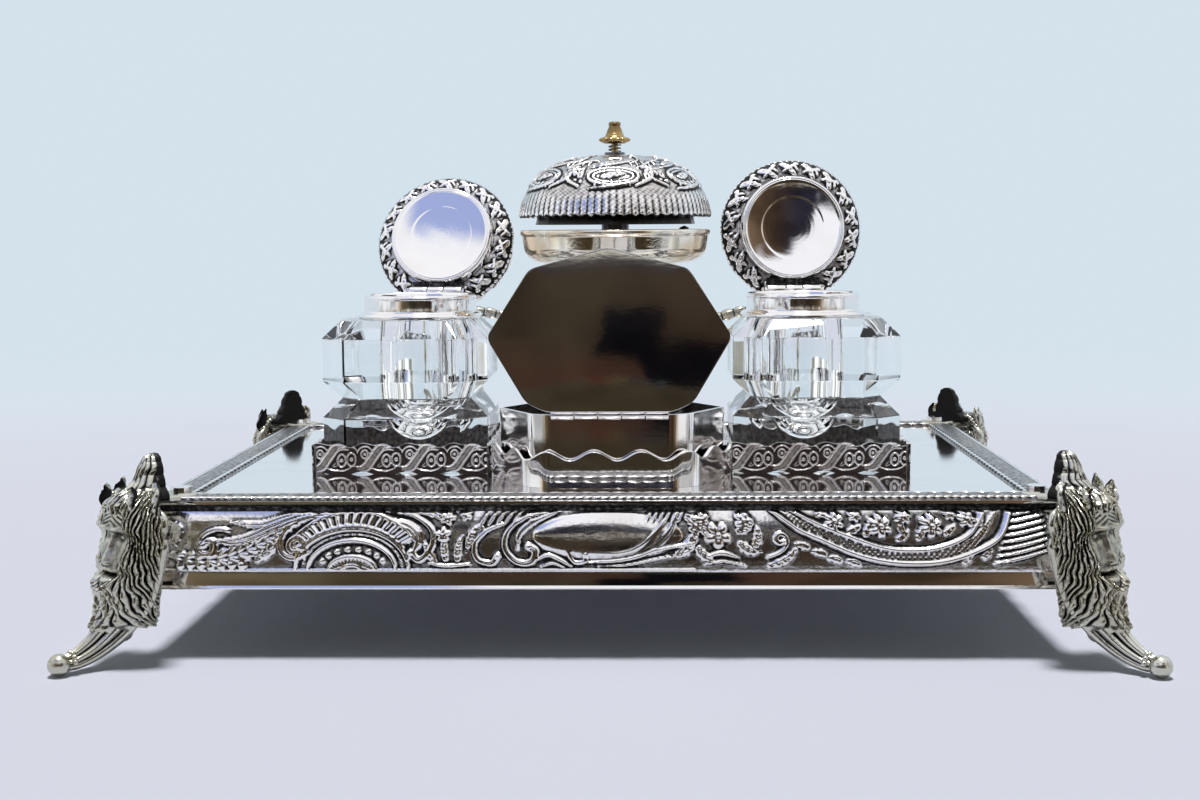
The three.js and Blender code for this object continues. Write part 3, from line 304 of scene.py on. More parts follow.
def place(name, shells, look, slot, hides=None, body=None, sharp=38):
    """Joins shells into one object in metres, with its wear as an attribute and its own finish. It moves
    with the body of the CAD node it hides, or with the one given. A body that is a tuple joins it to no
    body, and its place is baked into its points."""
    shells = [shells] if isinstance(shells, Shell) else list(shells)
    points = np.concatenate([shell.points for shell in shells]) * MM
    starts = np.cumsum([0] + [len(shell.points) for shell in shells[:-1]])
    faces = []
    for shell, start in zip(shells, starts):
        faces += (shell.quads + start).tolist()
        faces += (shell.triangles + start).tolist()
    mesh = bpy.data.meshes.new(name)
    mesh.from_pydata(points.tolist(), [], faces)
    mesh.shade_smooth()
    mesh.set_sharp_from_angle(angle=math.radians(sharp))
    wear = mesh.attributes.new("wear", "FLOAT", "POINT")
    wear.data.foreach_set("value", np.concatenate([shell.wear for shell in shells]).astype(np.float32))
    mesh.materials.append(look)
    piece = bpy.data.objects.new(name, mesh)
    bpy.context.scene.collection.objects.link(piece)
    if isinstance(body, tuple):
        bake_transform(piece)
    else:
        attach(piece, body or BODIES[hides])
    if hides:
        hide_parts(hides)


def dress(look, *names):
    """Gives CAD nodes that stay a finish."""
    for name in names:
        mesh = frame["nodes"][name].data
        mesh.materials.clear()
        mesh.materials.append(look)


# Shader helpers

MIX_FIRST = 6
MIX_SECOND = 7
MIX_COLOUR = 2
DENT_SCALE = 60.0
EVEN_WEAR = 0.9


def new_group(name, inputs, outputs):
    """An empty shader node group with named sockets: the group, what it is given and what it gives."""
    group = bpy.data.node_groups.new(name, "ShaderNodeTree")
    for label, value in inputs.items():
        kind = "NodeSocketColor" if isinstance(value, tuple) else "NodeSocketFloat"
        group.interface.new_socket(name=label, in_out="INPUT", socket_type=kind).default_value = value
    for label, kind in outputs.items():
        group.interface.new_socket(name=label, in_out="OUTPUT", socket_type=kind)
    return group, group.nodes.new("NodeGroupInput").outputs, group.nodes.new("NodeGroupOutput").inputs


def feed(tree, socket, value):
    """Links a socket to another, or sets it to a plain value."""
    if isinstance(value, bpy.types.NodeSocket):
        tree.links.new(value, socket)
    else:
        socket.default_value = value


def node(tree, kind, inputs, **options):
    """A new node with its options set and its inputs fed."""
    made = tree.nodes.new("ShaderNode" + kind)
    for name, value in options.items():
        setattr(made, name, value)
    for label, value in inputs.items():
        feed(tree, made.inputs[label], value)
    return made


def maths(tree, operation, *values, clamp=False):
    return node(tree, "Math", dict(enumerate(values)), operation=operation, use_clamp=clamp).outputs[0]


def times(tree, first, *others):
    """The product of sockets and plain values."""
    for other in others:
        first = maths(tree, "MULTIPLY", first, other)
    return first


def mixed(tree, share, first, second):
    """The colour at a share of the way from the first colour to the second."""
    made = node(tree, "Mix", {"Factor": share, MIX_FIRST: first, MIX_SECOND: second}, data_type="RGBA")
    return made.outputs[MIX_COLOUR]


def spread(tree, value, low, high, to_low=0.0, to_high=1.0, smooth=True):
    """A value taken from one range to another and held there."""
    ends = {"Value": value, "From Min": low, "From Max": high, "To Min": to_low, "To Max": to_high}
    made = node(tree, "MapRange", ends, interpolation_type="SMOOTHSTEP" if smooth else "LINEAR")
    return made.outputs["Result"]


def between(tree, value, low, full, fall, high):
    """One inside a range of a value and nought outside it, with soft ends."""
    return times(tree, spread(tree, value, low, full), spread(tree, value, high, fall))


def ramp(tree, value, stops):
    """A colour ramp with the given places and colours."""
    made = node(tree, "ValToRGB", {"Fac": value})
    while len(made.color_ramp.elements) < len(stops):
        made.color_ramp.elements.new(0.5)
    for element, (where, tone) in zip(made.color_ramp.elements, stops):
        element.position = where
        element.color = (*tone, 1)
    return made.outputs["Color"]


def noise(tree, vector, scale, detail=3.0, stretch=(1.0, 1.0, 1.0)):
    mapped = node(tree, "Mapping", {"Vector": vector, "Scale": stretch}).outputs[0]
    return node(tree, "TexNoise", {"Vector": mapped, "Scale": scale, "Detail": detail}).outputs["Fac"]


def object_place(tree):
    return node(tree, "TexCoord", {}).outputs["Object"]


def bumped(tree, height, strength):
    """The normal of a surface whose height is in millimetres."""
    return node(tree, "Bump", {"Height": height, "Distance": MM, "Strength": strength}).outputs["Normal"]


def new_look(name):
    """A new material and its node tree."""
    look = bpy.data.materials.new(name)
    look.use_nodes = True
    return look, look.node_tree


def dress_shader(tree, values):
    """Feeds the inputs of a material's Principled BSDF."""
    for label, value in values.items():
        feed(tree, tree.nodes["Principled BSDF"].inputs[label], value)


def show(tree, shader):
    """Puts a shader in the place of a material's Principled BSDF."""
    tree.nodes.remove(tree.nodes["Principled BSDF"])
    feed(tree, tree.nodes["Material Output"].inputs["Surface"], shader.outputs[0])


def silver_age_group():
    """Silver's colour and roughness from how worn it is: dark oxide stays in the recesses, the high
    points are bright, and a warm film lies over it in soft clouds."""
    group = bpy.data.node_groups.get("SilverAge")
    if group:
        return group
    group, given, out = new_group(
        "SilverAge",
        {"Wear": 1.0, "Silver": (0.9, 0.9, 0.9, 1), "Oxide": (0.02, 0.02, 0.03, 1),
         "Film": (0.8, 0.7, 0.55, 1), "Film Amount": 0.2, "Oxide Level": 0.4, "Gloss Roughness": 0.06},
        {"Color": "NodeSocketColor", "Roughness": "NodeSocketFloat"})
    where = object_place(group)
    speckle = noise(group, where, 900.0, 4.0)
    cloud = noise(group, where, 55.0, 3.0)
    level = maths(group, "ADD", given["Wear"], times(group, maths(group, "SUBTRACT", speckle, 0.5), 0.35))
    low = maths(group, "SUBTRACT", given["Oxide Level"], 0.22)
    high = maths(group, "ADD", given["Oxide Level"], 0.16)
    bare = spread(group, level, low, high)
    film = times(group, spread(group, cloud, 0.42, 0.66), given["Film Amount"])
    tinted = mixed(group, film, given["Silver"], given["Film"])
    dull = times(group, maths(group, "SUBTRACT", 1.0, bare), 0.35)
    rough = maths(group, "ADD", given["Gloss Roughness"], dull)
    feed(group, out["Color"], mixed(group, bare, given["Oxide"], tinted))
    feed(group, out["Roughness"], maths(group, "ADD", rough, times(group, film, 0.12), clamp=True))
    return group


def hand_finish_group():
    """Height of a hand finished surface: slow dents left by planishing, and fine rubbing marks."""
    group = bpy.data.node_groups.get("HandFinish")
    if group:
        return group
    group, given, out = new_group("HandFinish", {"Dents": 1.0, "Marks": 0.1, "Dent Scale": DENT_SCALE},
                                  {"Height": "NodeSocketFloat"})
    where = object_place(group)
    dents = times(group, noise(group, where, given["Dent Scale"], 1.0), given["Dents"])
    marks = times(group, noise(group, where, 500.0, 5.0, (1.0, 4.0, 2.0)), given["Marks"])
    feed(group, out["Height"], maths(group, "ADD", dents, marks))
    return group


def silver_look(name, silver, oxide_level, film, gloss, dents, marks, carved=True,
                oxide=(0.02, 0.019, 0.019, 1), film_colour=(0.72, 0.58, 0.44, 1)):
    """A silver finish: oxide and film from SilverAge, and dents and marks from HandFinish. A carved
    piece brings its own wear, and any other is worn evenly."""
    look = bpy.data.materials.get(name)
    if look:
        return look
    look, tree = new_look(name)
    wear = node(tree, "Attribute", {}, attribute_name="wear").outputs["Fac"] if carved else EVEN_WEAR
    age = node(tree, "Group", {}, node_tree=silver_age_group())
    finish = node(tree, "Group", {}, node_tree=hand_finish_group())
    for label, value in (("Wear", wear), ("Silver", silver), ("Oxide", oxide), ("Film", film_colour),
                         ("Film Amount", film), ("Oxide Level", oxide_level), ("Gloss Roughness", gloss)):
        feed(tree, age.inputs[label], value)
    for label, value in (("Dents", dents), ("Marks", marks), ("Dent Scale", DENT_SCALE)):
        feed(tree, finish.inputs[label], value)
    dress_shader(tree, {"Metallic": 1.0, "Base Color": age.outputs["Color"],
                        "Roughness": age.outputs["Roughness"],
                        "Normal": bumped(tree, finish.outputs["Height"], 0.5)})
    return look


def colour_of(settings, name):
    return (*getattr(settings, name), 1.0)


def polished_silver(settings):
    return silver_look("bright_silver", colour_of(settings, "silver_tone"), 0.3, 0.12, 0.06, 0.05, 0.012)


def chased_silver(settings):
    return silver_look("oxidised_chasing", colour_of(settings, "silver_tone"), settings.oxide_level,
                       0.25, 0.1, 0.1, 0.05)


def cast_silver(settings):
    return silver_look("oxidised_casting", colour_of(settings, "cast_tone"), settings.oxide_level + 0.07,
                       0.55, 0.15, 0.2, 0.14, film_colour=(0.42, 0.38, 0.27, 1))


def plain_metal(name, tone, gloss, film, film_colour):
    return silver_look(name, tone, 0.4, film, gloss, 0.1, 0.1, carved=False, film_colour=film_colour)


def dark_steel(name):
    return plain_metal(name, (0.16, 0.16, 0.17, 1), 0.3, 0.6, (0.1, 0.06, 0.035, 1))


def cut_glass(settings):
    """Clear cut glass whose faces ripple a little, as ground and polished faces do."""
    look, tree = new_look("clear_glass")
    ripple = noise(tree, object_place(tree), 130.0, 1.0)
    dress_shader(tree, {"Base Color": colour_of(settings, "glass_tone"), "Transmission Weight": 1.0,
                        "IOR": 1.5, "Roughness": 0.0, "Normal": bumped(tree, ripple, 0.03)})
    return look


# Settings

def tone(name, description, default):
    """A colour that a user picks."""
    return bpy.props.FloatVectorProperty(name=name, description=description, default=default,
                                         subtype="COLOR", min=0.0, max=1.0)


class InkstandSettings(bpy.types.PropertyGroup):
    """Sizes and colours that a user would change before building."""

    relief: bpy.props.FloatProperty(
        name="Band relief", description="Height of the chasing on the tray's band",
        default=1.15 * MM, min=0.2 * MM, max=2 * MM, unit="LENGTH")
    dome_relief: bpy.props.FloatProperty(
        name="Dome relief", description="Height of the chasing on the bell cover and the lids",
        default=0.9 * MM, min=0.2 * MM, max=2 * MM, unit="LENGTH")
    rope_pitch: bpy.props.FloatProperty(
        name="Rope pitch", description="Length of one strand of the border's rope edges",
        default=2.35 * MM, min=MM, max=6 * MM, unit="LENGTH")
    oxide_level: bpy.props.FloatProperty(
        name="Oxide level", description="How much of the relief stays dark",
        default=0.44, min=0.0, max=1.0, subtype="FACTOR")
    silver_tone: tone("Silver", "Colour of polished silver", (0.95, 0.93, 0.925))
    cast_tone: tone("Cast silver", "Colour of the cast feet and the pen rest", (0.64, 0.63, 0.56))
    glass_tone: tone("Glass", "Colour of the cut glass", (0.97, 0.99, 1.0))
    floor_tone: tone("Floor", "Colour of the table under the stand", (0.66, 0.67, 0.76))
    backdrop_tone: tone("Backdrop", "Colour of the backdrop", (0.66, 0.76, 0.84))


class PieceOperator:
    """What all the building operators share."""

    bl_options = {"REGISTER", "UNDO"}

    def execute(self, context):
        self.build(context.scene.inkstand)
        return {"FINISHED"}


# Stage

CAMERA_PLACE = (12.5, -531.7, 118.2)
CAMERA_YAW = 1.78
CAMERA_DIP = 5.98
CAMERA_ROLL = -0.40
CAMERA_SENSOR = 36.0
CAMERA_LENS = 49.02
CAMERA_NEAR = 0.01
FLOOR_REACH = 2600.0
FLOOR_BACK = 900.0
COVE_RADIUS = 900.0
WALL_HEIGHT = 2200.0
SCREEN_FOOT = 0.5
SCREEN_RADIUS = 445.0
SCREEN_TOP = 640.0
SCREEN_ARC = 86.0
CARD_RADIUS = 720.0
CARD_TOP = 900.0
CARD_BEGIN = 24.0
CARD_END = 104.0
CARD_STRENGTH = 1.25
SUN_STRENGTH = 2.75
SUN_SPREAD = 12
SUN_LEAN = 1
BOX_FRONT = -69.0
SIGHT_REACH = 0.06
SEEING_RAYS = ("Camera", "Glossy", "Transmission")
DARK_BROWN = (0.05, 0.04, 0.03)
DARK_BLUE = (0.012, 0.016, 0.036)
TEAL = (0.05, 0.13, 0.14)
NEAR_THINGS = ((0.0, DARK_BROWN), (0.188, DARK_BROWN), (0.193, (0.1, 0.012, 0.012)),
               (0.276, (0.09, 0.012, 0.01)), (0.281, (0.1, 0.085, 0.04)), (0.377, (0.09, 0.075, 0.035)),
               (0.384, DARK_BLUE), (0.6, DARK_BLUE), (0.604, TEAL), (0.63, TEAL), (0.636, DARK_BROWN),
               (1.0, DARK_BROWN))
ROOM_TONES = ((0.0, (0.62, 0.66, 0.70)), (0.22, (0.6, 0.62, 0.64)), (0.27, (0.4, 0.33, 0.24)),
              (0.3, (0.12, 0.095, 0.055)), (0.36, (0.06, 0.05, 0.03)), (0.43, (0.04, 0.031, 0.02)),
              (0.5, (0.032, 0.024, 0.016)), (0.56, (0.034, 0.023, 0.016)), (0.64, (0.05, 0.033, 0.02)),
              (0.7, (0.12, 0.08, 0.05)), (0.73, (0.45, 0.39, 0.32)), (0.77, (0.6, 0.62, 0.64)),
              (1.0, (0.62, 0.66, 0.70)))
CARD_TONES = ((0.0, (0.8, 0.84, 0.88)), (0.06, (0.22, 0.22, 0.19)), (0.12, (0.26, 0.26, 0.22)),
              (0.15, (0.9, 0.92, 0.95)), (0.28, (1.0, 1.0, 1.0)), (0.3, (0.36, 0.36, 0.32)),
              (0.36, (0.4, 0.4, 0.36)), (0.4, (0.8, 0.82, 0.85)), (0.58, (0.95, 0.96, 0.98)),
              (0.62, (0.2, 0.2, 0.17)), (0.68, (0.3, 0.3, 0.26)), (0.72, (0.9, 0.92, 0.94)),
              (1.0, (0.8, 0.82, 0.85)))


def camera_matrix():
    """The camera's axes: forward is the yaw and the dip, and right and up are turned by the roll."""
    yaw, dip, roll = (math.radians(a) for a in (CAMERA_YAW, CAMERA_DIP, CAMERA_ROLL))
    forward = np.array([-math.sin(yaw) * math.cos(dip), math.cos(yaw) * math.cos(dip), -math.sin(dip)])
    right = np.array([math.cos(yaw), math.sin(yaw), 0.0])
    up = np.cross(right, forward)
    matrix = np.identity(4)
    matrix[:3, 0] = right * math.cos(roll) + up * math.sin(roll)
    matrix[:3, 1] = up * math.cos(roll) - right * math.sin(roll)
    matrix[:3, 2] = -forward
    matrix[:3, 3] = np.array(CAMERA_PLACE) * MM
    return Matrix(matrix.tolist())


def stage_object(name, shell, look, unseen_by=()):
    """A surface of the stage, which some kinds of rays don't meet."""
    mesh = bpy.data.meshes.new(name)
    mesh.from_pydata((shell.points * MM).tolist(), [], shell.quads.tolist())
    mesh.shade_smooth()
    mesh.materials.append(look)
    stage = bpy.data.objects.new(name, mesh)
    bpy.context.scene.collection.objects.link(stage)
    for ray in unseen_by:
        setattr(stage, "visible_" + ray, False)


def curved_wall(radius, arc, levels):
    """An upright sheet on a circle about Z, over angles from +Y and at the given levels."""
    arc, levels = np.asarray(arc)[None], np.asarray(levels)[:, None]
    return sheet(np.stack((radius * np.sin(arc) + 0 * levels, abs(radius) * np.cos(arc) + 0 * levels,
                           levels + 0 * arc), -1))


def any_ray(tree, *kinds):
    """One for the named kinds of rays, and nought for all others."""
    path = node(tree, "LightPath", {}).outputs
    seen = path[f"Is {kinds[0]} Ray"]
    for kind in kinds[1:]:
        seen = maths(tree, "MAXIMUM", seen, path[f"Is {kind} Ray"])
    return seen


def split_place(tree, where):
    return node(tree, "SeparateXYZ", {0: where}).outputs


def scaled(tree, colour, amount):
    return node(tree, "VectorMath", {0: colour, "Scale": amount}, operation="SCALE").outputs["Vector"]


def floor_look(settings):
    """A pale table that runs into the backdrop: plain and lit near the stand, so that it holds the
    shadow, and of an even glow far from it. Mirrors see the dark things that stand on its near end."""
    look, tree = new_look("studio_floor")
    where = object_place(tree)
    x, y, _ = split_place(tree, where)
    distance = node(tree, "VectorMath", {0: where}, operation="LENGTH").outputs["Value"]
    far_tone = mixed(tree, spread(tree, y, 0.0, 1.2), (0.71, 0.765, 0.84, 1),
                     colour_of(settings, "backdrop_tone"))
    aside = maths(tree, "SUBTRACT", x, CAMERA_PLACE[0] * MM)
    behind = maths(tree, "SUBTRACT", (2 * BOX_FRONT - CAMERA_PLACE[1]) * MM, y)
    sight = spread(tree, maths(tree, "DIVIDE", aside, behind), -SIGHT_REACH, SIGHT_REACH, smooth=False)
    things = mixed(tree, spread(tree, y, -0.43, -0.445), (0.04, 0.032, 0.02, 1),
                   ramp(tree, sight, NEAR_THINGS))
    near_tone = scaled(tree, things, spread(tree, noise(tree, where, 24.0, 2.0), 0.35, 0.65, 0.7, 1.3))
    is_near = times(tree, spread(tree, y, -0.205, -0.225), any_ray(tree, "Glossy", "Transmission"))
    lit = times(tree, spread(tree, distance, 0.3, 0.75), any_ray(tree, *SEEING_RAYS))
    table = node(tree, "BsdfDiffuse", {"Color": colour_of(settings, "floor_tone")})
    glow = node(tree, "Emission", {"Color": mixed(tree, is_near, far_tone, near_tone)})
    show(tree, node(tree, "MixShader", {0: maths(tree, "MAXIMUM", lit, is_near), 1: table.outputs[0],
                                        2: glow.outputs[0]}))
    return look


def room_look():
    """The room behind the viewer: dark in the middle and brown to both sides, navy above the height of
    the hands, with a blue light up on the left, and bright above."""
    look, tree = new_look("dark_room")
    where = object_place(tree)
    x, y, z = split_place(tree, where)
    arc = math.radians(SCREEN_ARC)
    share = spread(tree, maths(tree, "ARCTAN2", x, times(tree, y, -1.0)), -arc, arc, smooth=False)
    tones = ramp(tree, share, ROOM_TONES)
    middle = between(tree, share, 0.33, 0.43, 0.58, 0.66)
    navy = times(tree, middle, spread(tree, z, 0.085, 0.1), 0.8)
    tones = mixed(tree, navy, tones, (0.012, 0.014, 0.03, 1))
    streaks = spread(tree, noise(tree, where, 30.0, 1.0, (1.0, 1.0, 0.02)), 0.35, 0.65)
    skin = mixed(tree, streaks, (0.2, 0.15, 0.09, 1), (0.62, 0.6, 0.52, 1))
    tones = mixed(tree, times(tree, between(tree, z, 0.099, 0.101, 0.111, 0.113), 0.9), tones, skin)
    low = times(tree, middle, spread(tree, z, 0.035, 0.005), 0.2)
    tones = mixed(tree, low, tones, (0.09, 0.016, 0.012, 1))
    warp = spread(tree, noise(tree, where, 40.0, 3.0), 0.3, 0.7, -0.004, 0.004)
    bent = maths(tree, "ADD", share, warp)
    tall = maths(tree, "ADD", z, times(tree, warp, 1.5))
    shape = times(tree, between(tree, bent, 0.486, 0.488, 0.521, 0.523),
                  between(tree, tall, 0.021, 0.023, 0.053, 0.055))
    corner = times(tree, between(tree, bent, 0.507, 0.51, 0.55, 0.56), spread(tree, tall, 0.03, 0.026))
    tones = mixed(tree, maths(tree, "MAXIMUM", shape, corner), tones, (0.004, 0.004, 0.006, 1))
    patches = spread(tree, noise(tree, where, 11.0, 2.5), 0.36, 0.66, 0.7, 1.5)
    ragged = maths(tree, "ADD", z, spread(tree, noise(tree, where, 7.0, 2.0), 0.3, 0.7, -0.04, 0.04))
    ceiling = spread(tree, share, 0.55, 0.575, 0.18, 0.285)
    above = spread(tree, maths(tree, "SUBTRACT", ragged, ceiling), -0.02, 0.02)
    blue = times(tree, between(tree, share, 0.15, 0.2, 0.38, 0.43),
                 between(tree, ragged, 0.22, 0.26, 0.44, 0.56))
    sky = mixed(tree, blue, (0.93, 0.95, 1.0, 1), (0.36, 0.44, 0.76, 1))
    show(tree, node(tree, "Emission", {"Color": mixed(tree, above, scaled(tree, tones, patches), sky)}))
    return look


def card_look():
    """Pale and dark upright bands to both sides behind the stand, which give cut glass its contrast."""
    look, tree = new_look("glass_cards")
    x, y, _ = split_place(tree, object_place(tree))
    turn = maths(tree, "ABSOLUTE", maths(tree, "ARCTAN2", x, y))
    share = spread(tree, turn, math.radians(CARD_BEGIN), math.radians(CARD_END), smooth=False)
    show(tree, node(tree, "Emission", {"Color": ramp(tree, share, CARD_TONES), "Strength": CARD_STRENGTH}))
    return look


class INKSTAND_OT_stage(PieceOperator, bpy.types.Operator):
    """Sets up the floor, backdrop, lamps and camera"""

    bl_idname = "inkstand.stage"
    bl_label = "Studio"

    def build(self, settings):
        arc = np.linspace(0, math.pi / 2, 24)
        cove = np.stack((FLOOR_BACK + COVE_RADIUS * np.sin(arc), COVE_RADIUS * (1 - np.cos(arc))), -1)
        profile = np.concatenate(([[-FLOOR_REACH, 0]], cove, [[FLOOR_BACK + COVE_RADIUS, WALL_HEIGHT]]))
        sides = np.array([[[-FLOOR_REACH], [FLOOR_REACH]]] * len(profile))
        grid = np.concatenate((sides, np.repeat(profile[:, None], 2, axis=1)), -1)
        stage_object("studio_floor", sheet(grid), floor_look(settings))
        hidden = ("camera", "diffuse", "shadow")
        arc = math.pi - np.radians(np.linspace(-SCREEN_ARC, SCREEN_ARC, 60))
        wall = curved_wall(SCREEN_RADIUS, arc, np.linspace(SCREEN_FOOT, SCREEN_TOP, 3))
        stage_object("dark_room_screen", wall, room_look(), hidden)
        cards = card_look()
        arc = np.radians(np.linspace(CARD_BEGIN, CARD_END, 40))
        for label, side in (("left", -1), ("right", 1)):
            wall = curved_wall(side * CARD_RADIUS, arc, (SCREEN_FOOT, CARD_TOP))
            stage_object(f"glass_card_{label}", wall, cards, (*hidden, "glossy"))
        self.light(settings)
        data = bpy.data.cameras.new("photo_view")
        data.sensor_width = CAMERA_SENSOR
        data.lens = CAMERA_LENS
        data.clip_start = CAMERA_NEAR
        camera = bpy.data.objects.new("photo_view", data)
        camera.matrix_world = camera_matrix()
        scene = bpy.context.scene
        scene.collection.objects.link(camera)
        scene.camera = camera
        scene.view_settings.view_transform = "Standard"

    def light(self, settings):
        """The sky and the lamp: rays that light the stand meet a greenish sky, brighter to both sides,
        and rays that are seen meet a pale one that brightens upwards."""
        world = bpy.data.worlds.new("studio")
        bpy.context.scene.world = world
        world.use_nodes = True
        tree = world.node_tree
        x, _, z = split_place(tree, node(tree, "TexCoord", {}).outputs["Generated"])
        plain = tree.nodes["Background"]
        plain.inputs["Color"].default_value = (0.86, 1.0, 0.88, 1)
        feed(tree, plain.inputs["Strength"], spread(tree, maths(tree, "ABSOLUTE", x), 0.6, 0.97, 0.09, 0.6))
        tent = node(tree, "Background", {"Color": mixed(
            tree, spread(tree, z, 0.0, 0.55), colour_of(settings, "backdrop_tone"), (0.96, 0.97, 1.0, 1))})
        both = node(tree, "MixShader", {0: any_ray(tree, *SEEING_RAYS), 1: plain.outputs[0],
                                        2: tent.outputs[0]})
        feed(tree, tree.nodes["World Output"].inputs["Surface"], both.outputs[0])

        sun = bpy.data.lights.new("overhead", "SUN")
        sun.energy = SUN_STRENGTH
        sun.angle = math.radians(SUN_SPREAD)
        lamp = bpy.data.objects.new("overhead", sun)
        lamp.rotation_euler = (math.radians(SUN_LEAN), 0, 0)
        bpy.context.scene.collection.objects.link(lamp)


# Chasing: raised ornament drawn on a flat chart of the surface

class Chart:
    """A grid of places along (u) and up (v) a surface, in millimetres, with the height raised there."""

    def __init__(self, u, v):
        self.u, self.v = np.meshgrid(u, v, indexing="ij")
        self.h = np.zeros_like(self.u)

    def window(self, low, high):
        """The places inside a rectangle."""
        return (self.u >= low[0]) & (self.u <= high[0]) & (self.v >= low[1]) & (self.v <= high[1])

    def near(self, path, reach):
        """For the places near a path: their mask, distance, signed offset and share of its length."""
        inside = self.window(path.min(0) - reach, path.max(0) + reach)
        du = self.u[inside][:, None] - path[None, :, 0]
        dv = self.v[inside][:, None] - path[None, :, 1]
        squared = du ** 2 + dv ** 2
        nearest = squared.argmin(1)
        rows = np.arange(len(nearest))
        along = unit(np.gradient(path, axis=0))[nearest]
        offset = along[:, 0] * dv[rows, nearest] - along[:, 1] * du[rows, nearest]
        return inside, np.sqrt(squared[rows, nearest]), offset, nearest / (len(path) - 1)

    def lift(self, inside, height):
        self.h[inside] = np.maximum(self.h[inside], height)

    def ridge(self, path, width, height, taper=0.35):
        """A rounded ridge: the height times the square root of one less the squared distance over the
        width, which narrows towards both ends."""
        inside, distance, _, share = self.near(path, width)
        narrow = width * (taper + (1 - taper) * np.sin(math.pi * np.clip(share, 0.02, 0.98)) ** 0.6)
        self.lift(inside, height * np.sqrt(np.clip(1 - (distance / narrow) ** 2, 0, None)))

    def scroll(self, path, width, height):
        """A ridge with a groove along its middle and a boss at the end where it curls."""
        inside, distance, offset, share = self.near(path, width)
        narrow = width * (0.45 + 0.55 * share)
        dome = np.sqrt(np.clip(1 - (distance / narrow) ** 2, 0, None))
        groove = 1 - 0.4 * np.exp(-(offset / (0.3 * narrow)) ** 2)
        self.lift(inside, height * dome * groove)
        self.boss(path[-1], width * 0.95, height * 1.1)

    def boss(self, centre, radius, height):
        """A round button: the height times a circle's arc."""
        low = np.asarray(centre) - radius
        inside = self.window(low, low + 2 * radius)
        r = np.hypot(self.u[inside] - centre[0], self.v[inside] - centre[1]) / radius
        self.lift(inside, height * np.sqrt(np.clip(1 - r ** 2, 0, None)))

    def leaf(self, path, width, height, lobes=5):
        """A leaf along a path: its half width is a sine of the way along, notched at each lobe, its top
        is domed across, and slanted veins and a midrib are cut into it."""
        inside, _, offset, share = self.near(path, width)
        notch = 0.72 + 0.28 * np.abs(np.cos(math.pi * (lobes * share - 0.35 * np.abs(offset) / width)))
        half = width * np.sin(math.pi * np.clip(share, 0, 1) ** 0.75) ** 0.7 * notch
        across = np.abs(offset) / np.maximum(half, 1e-3)
        dome = np.sqrt(np.clip(1 - across ** 2, 0, None))
        veins = 0.78 + 0.22 * np.cos(TURN * (lobes * share - 1.1 * np.abs(offset) / width))
        midrib = 1 - 0.45 * np.exp(-(offset / (0.1 * width + 0.12)) ** 2)
        self.lift(inside, height * (0.3 + 0.7 * dome) * veins * midrib * (across < 1))

    def plume(self, path, width, height, strands=4):
        """Fine strands side by side along a path, under a half round that narrows to both ends: a strand
        is the absolute cosine of the offset over its width."""
        inside, _, offset, share = self.near(path, width)
        half = width * (0.25 + 0.75 * np.sin(math.pi * np.clip(share, 0.02, 0.98)) ** 0.7)
        across = np.clip(offset / half, -1, 1)
        strand = 0.3 + 0.7 * np.abs(np.cos(math.pi * strands * across / 2 + math.pi * (strands % 2) / 2))
        self.lift(inside, height * strand * np.sqrt(1 - across ** 2) ** 0.7)

    def flower(self, centre, radius, height, petals=6, turn=0.0):
        """A daisy: petals whose outline follows the absolute cosine of the angle, and a round eye."""
        low = np.asarray(centre) - radius
        inside = self.window(low, low + 2 * radius)
        du = self.u[inside] - centre[0]
        dv = self.v[inside] - centre[1]
        r = np.hypot(du, dv)
        angle = np.arctan2(dv, du) + turn
        outline = radius * (0.55 + 0.45 * np.abs(np.cos(petals * angle / 2)) ** 0.6)
        fold = 0.7 + 0.3 * np.abs(np.cos(petals * angle / 2))
        petal = np.sin(math.pi * np.clip(r / outline, 0, 1)) ** 0.5
        eye = np.sqrt(np.clip(1 - (r / (0.3 * radius)) ** 2, 0, None))
        self.lift(inside, height * np.maximum(petal * fold * (r < outline), 1.15 * eye))

    def fan(self, centre, inner, outer, height, flutes, begin=0.0, end=180.0):
        """A shell of flutes between two ovals, with a ridge along each."""
        low = np.asarray(centre) - np.asarray(outer)
        high = np.asarray(centre) + np.asarray(outer)
        inside = self.window(low, high)
        du = self.u[inside] - centre[0]
        dv = self.v[inside] - centre[1]
        angle = np.degrees(np.arctan2(dv / outer[1], du / outer[0]))
        r_out = np.hypot(du / outer[0], dv / outer[1])
        r_in = np.hypot(du / inner[0], dv / inner[1])
        ring = (r_out < 1) & (r_in > 1) & (angle > begin) & (angle < end)
        flute = np.abs(np.sin(np.radians(angle) * flutes / 2))
        self.lift(inside, height * (0.25 + 0.6 * flute) * ring)
        self.ridge(oval(centre, outer, begin, end), 0.75, height)
        self.ridge(oval(centre, inner, begin, end), 0.7, height)

    def hatch(self, path, width, height, pitch=0.9):
        """A strip along a path filled with crossed fine cuts."""
        inside, distance, offset, share = self.near(path, width)
        half = width * np.sin(math.pi * np.clip(share, 0.02, 0.98)) ** 0.5
        u, v = self.u[inside], self.v[inside]
        cuts = np.abs(np.sin(math.pi * (u + v) / pitch)) * np.abs(np.sin(math.pi * (u - v) / pitch))
        self.lift(inside, height * (0.35 + 0.65 * cuts) * (distance < half))

    def draw(self, motifs, shift=0.0):
        """Draws a table of motifs, each a path and sizes, by kind. Two values of a path are points and
        a count, and four are what flourish takes."""
        for kind, rows in motifs.items():
            for path, *sizes in rows:
                curve = smooth_path(*path) if len(path) == 2 else flourish(*path)
                getattr(self, kind)(curve + (shift, 0), *sizes)

    def grain(self, height, pitch):
        """A punched ground: fine crossed waves between the ornament."""
        self.h += height * np.sin(TURN * self.u / pitch) * np.sin(TURN * self.v / pitch)


